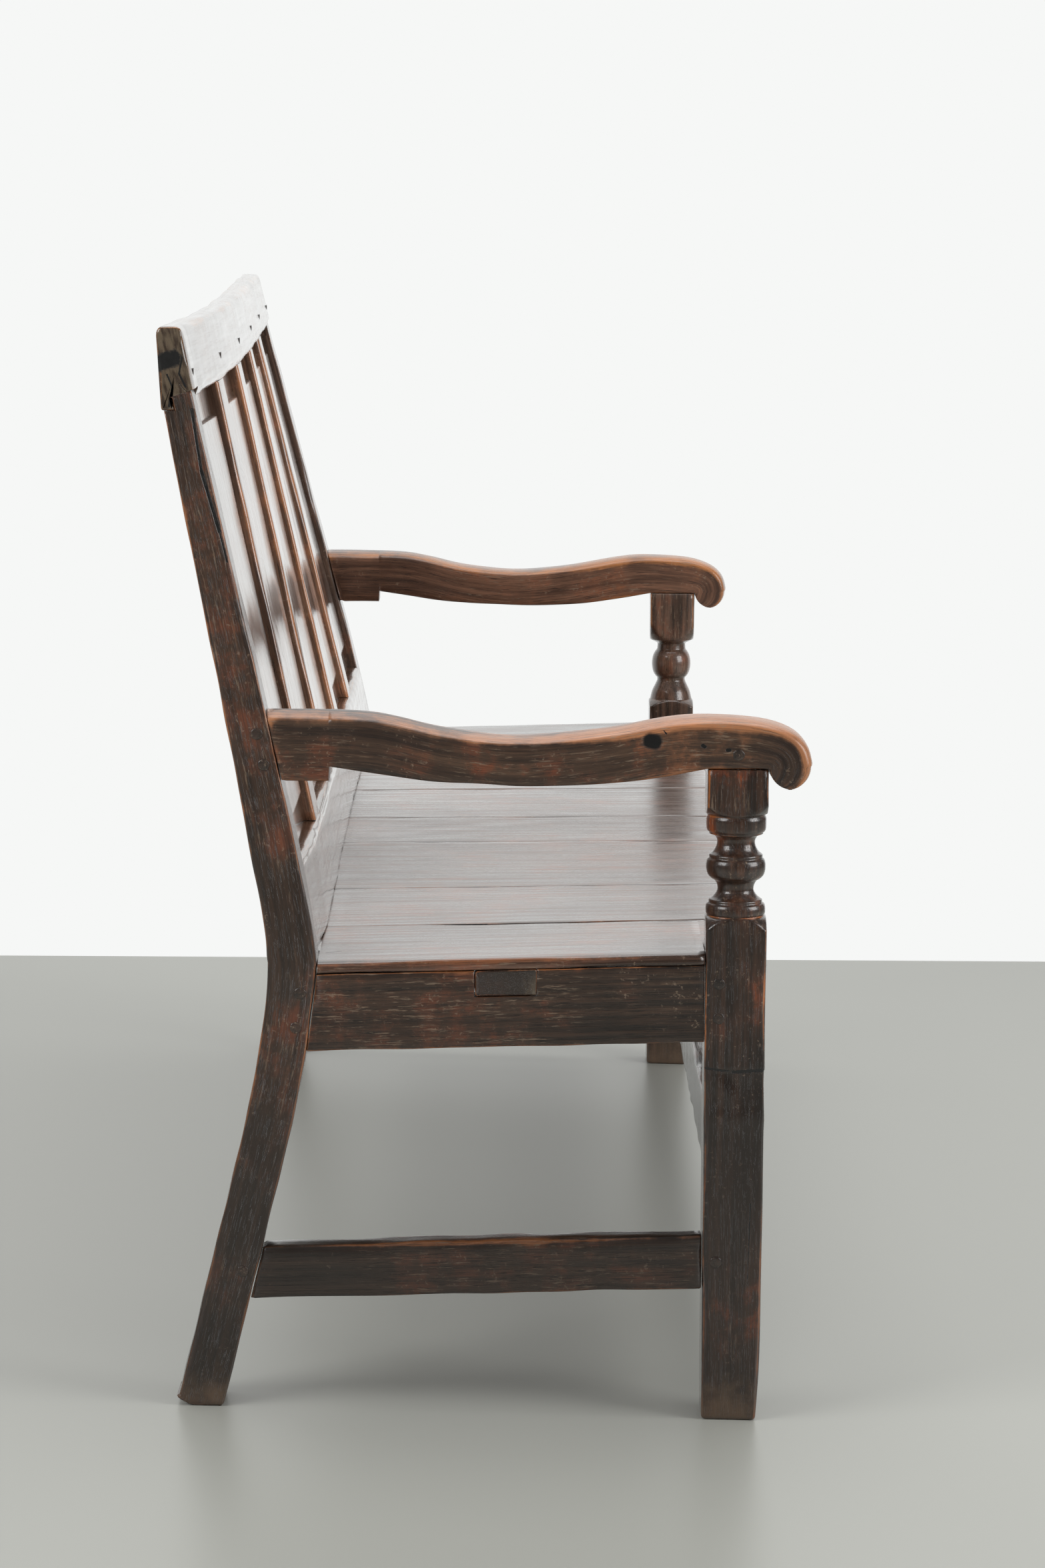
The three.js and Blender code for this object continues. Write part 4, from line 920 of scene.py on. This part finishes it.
def panel(middle, seed):
    """Front and back skins over one grid, joined at the rim. The front slopes from the border up to the
    field; the back is flat and roughly planed."""
    def lines(low, high):
        """Grid lines, close together over the slope."""
        start, stop, slope = low + TONGUE + BORDER, high - TONGUE - BORDER, np.linspace(0, SLOPE, 4)
        field = steps(start + 5, stop - 5, every=12)
        return np.r_[steps(low, start - 0.5, every=8), start + slope, field, stop - slope[::-1],
                     steps(stop + 0.5, high, every=8)]

    def within(line):
        """How far each grid line lies inside the border."""
        return np.minimum(line - line[0], line[-1] - line) - TONGUE - BORDER

    x = lines(-PANEL / 2 - TONGUE, PANEL / 2 + TONGUE)
    z = lines(BACK_RAIL_TOP - TONGUE, CREST_LOW + TONGUE)
    inside = np.minimum(within(x)[None], within(z)[:, None])
    rise = ramp(inside, 0, SLOPE)
    rise = rise * rise * (3 - 2 * rise)
    grid_x, grid_z = np.meshgrid(x + middle, z)
    flat = np.stack([grid_x, 0 * grid_x, grid_z], -1)
    front = BORDER_DEPTH - (BORDER_DEPTH - FIELD_DEPTH) * rise + 0.12 * swell(flat, 90, seed)
    back = BACK_DEPTH + 0.15 * swell(flat, 60, seed + 1)
    across, up, depth = (np.concatenate([a, b[:, ::-1]], 1)
                         for a, b in ((grid_x, grid_x), (grid_z, grid_z), (front, back)))
    near = 0.55 * np.exp(-np.abs(inside) / 2.5)
    weight = np.concatenate([near, 0 * near], 1)
    return on_back(across, depth, up), np.stack([up, across, depth], -1), weight, 0 * weight


for i in range(5):
    middle = -SPAN / 2 + PANEL / 2 + i * (PANEL + MUNTIN)
    piece(f"panel_{i + 1}", panel(middle, 170 + i), BACK_OAK)
print(len(OAK), "pieces")

# %% [markdown]
# ## Pegs
# The joints are pinned with riven oak pegs, driven through both pieces and cut off almost flush. They
# were whittled, not turned, so each is many-sided, and the mallet has spread its end. It is a surface of
# revolution whose radius changes with the angle.

# %% Pegs
def peg(name, radius, seed):
    """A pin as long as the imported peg, from its outer end in."""
    low, high = (set_out(np.array(corner) * 1000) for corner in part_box(name))
    sideways = "crest" not in name
    rng = np.random.default_rng(seed)
    turn = np.linspace(0, 2 * np.pi, 20, endpoint=False)
    corners = 1 + 0.035 * np.cos(turn * rng.integers(5, 8) + rng.uniform(0, 6))
    corners = corners + 0.02 * np.cos(3 * turn + rng.uniform(0, 6))
    long = (high - low)[0 if sideways else 1]
    share = np.array([0.35, 0.75, 1.08, 1.26, 1.32, 1.3, 1.1, 0.8, 0.78, 0.4])
    depth = np.array([0, 0.04, 0.15, 0.35, 0.6, 0.84, 1.2, long - 1, long, long])
    r = share[:, None] * radius * corners[None]
    u, v, w = r * np.cos(turn), r * np.sin(turn), np.broadcast_to(depth[:, None], r.shape)
    mid = (low + high) / 2
    if sideways:
        outer, inwards = (high[0], -1) if mid[0] > 0 else (low[0], 1)
        rings = np.stack([outer + inwards * w, mid[1] + u, mid[2] + v], -1)
    else:
        rings = np.stack([mid[0] + u, low[1] + w, mid[2] + v], -1)
    cap = np.broadcast_to((depth < 1)[:, None] * 1.0, r.shape)
    return rings, np.stack([w, u, v], -1), 0.3 * cap, 0.4 * cap


for i, name in enumerate(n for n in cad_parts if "peg" in n):
    piece(name, peg(name, 3.0 if "crest" in name else 4.1, 200 + i), PEG_OAK)
print(sum("peg" in n for n in OAK), "pegs;", len(OAK), "of", len(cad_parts), "nodes dressed")

# %% [markdown]
# ## Room, light and camera
# The bench stands on a pale floor in soft light from all round, before a wall that is white to the
# camera and to reflections only, so that it adds no light, and clear from behind. The camera stands at
# the end of the bench with a long lens. Its place was worked out from the photograph in the set-out
# frame, and is tipped with the bench.

# %% Floor and light
floor_paint, tree = blank_material("pale_floor")  # sealed, and a little glossy
shader = node(tree, "BsdfPrincipled", {"Base Color": "#a5a69f", "Roughness": 0.35})
node(tree, "OutputMaterial", {"Surface": shader.outputs[0]})

wall_paint, tree = blank_material("white_wall")  # white to the eye from its front, clear to all else
path, back = node(tree, "LightPath"), node(tree, "NewGeometry").outputs["Backfacing"]
seen = 0.0
for ray in ("Camera", "Glossy", "Transmission"):
    seen = sums(tree, "MAXIMUM", path.outputs[f"Is {ray} Ray"], seen)
seen = sums(tree, "MULTIPLY", seen, sums(tree, "SUBTRACT", 1.0, back))
glow = node(tree, "Emission", {"Color": "#f6f7f6", "Strength": 1.0}).outputs[0]
clear = node(tree, "BsdfTransparent", {"Color": "#ffffff"}).outputs[0]
node(tree, "OutputMaterial", {"Surface": node(tree, "MixShader", {0: seen, 1: clear, 2: glow}).outputs[0]})


def sheet(name, corners, material):
    mesh = bpy.data.meshes.new(name)
    mesh.from_pydata(corners, [], [(0, 1, 2, 3)])
    mesh.materials.append(material)
    added(name, mesh)


sheet("floor", [(-30, -30, 0), (30, -30, 0), (30, 30, 0), (-30, 30, 0)], floor_paint)
sheet("wall", [(1.35, 2, 0), (1.35, 2, 3), (1.88, -2, 3), (1.88, -2, 0)][::-1], wall_paint)

world = bpy.data.worlds.new("white_room")
bpy.context.scene.world = world
world.use_nodes = True
tree = world.node_tree
tree.nodes.clear()
path = node(tree, "LightPath")
strength = weighed(tree, 0.45, (path.outputs["Is Camera Ray"], 0.55), (path.outputs["Is Glossy Ray"], -0.35))
sky = node(tree, "Background", {"Color": "#ffffff", "Strength": strength})
node(tree, "OutputWorld", {"Surface": sky.outputs[0]})


def lamp(name, place, aim, size, power):
    """A square area lamp, in metres, turned to its aim."""
    data = bpy.data.lights.new(name, "AREA")
    data.size = size
    data.energy = power
    shown = added(name, data)
    shown.location = place
    shown.rotation_euler = (Vector(aim) - Vector(place)).to_track_quat("-Z", "Y").to_euler()


lamp("window_left", (-2.8, 3.2, 2.6), (0, 0, 0.5), 2.2, 90)
lamp("window_right", (-1.7, -3.4, 2.0), (0.3, 0, 0.5), 2.2, 85)
lamp("ceiling", (0.4, 0, 3.6), (0, 0, 0.4), 3.0, 60)

# %% Camera
PIXELS = (1568, 2352)
FOCAL = 7050.3  # in pixels of the photograph
EYE = (-5224.43, 247.81, 1192.73)  # millimetres, as set out
YAW, PITCH, ROLL = -0.00434, 0.1346, -0.00704

# It looks along +X, turned by yaw, tipped down by pitch, and rolled about its own line of sight.
ahead = np.array([np.cos(PITCH) * np.cos(YAW), np.cos(PITCH) * np.sin(YAW), -np.sin(PITCH)])
level = np.array([np.sin(YAW), -np.cos(YAW), 0])
up = np.cross(level, ahead)
right, top = level * np.cos(ROLL) - up * np.sin(ROLL), up * np.cos(ROLL) + level * np.sin(ROLL)
axes = tipped(np.stack([right, top, -ahead])) - tipped(np.zeros(3))
lens = bpy.data.cameras.new("camera")
lens.sensor_fit = "VERTICAL"
lens.sensor_height = 36
lens.lens = FOCAL / PIXELS[1] * lens.sensor_height
camera = added("camera", lens)
at = Matrix.Translation((tipped(EYE) / 1000).tolist())
camera.matrix_world = at @ Matrix(axes.T.tolist()).to_4x4()
bpy.context.scene.camera = camera
bpy.context.scene.view_settings.view_transform = "Standard"
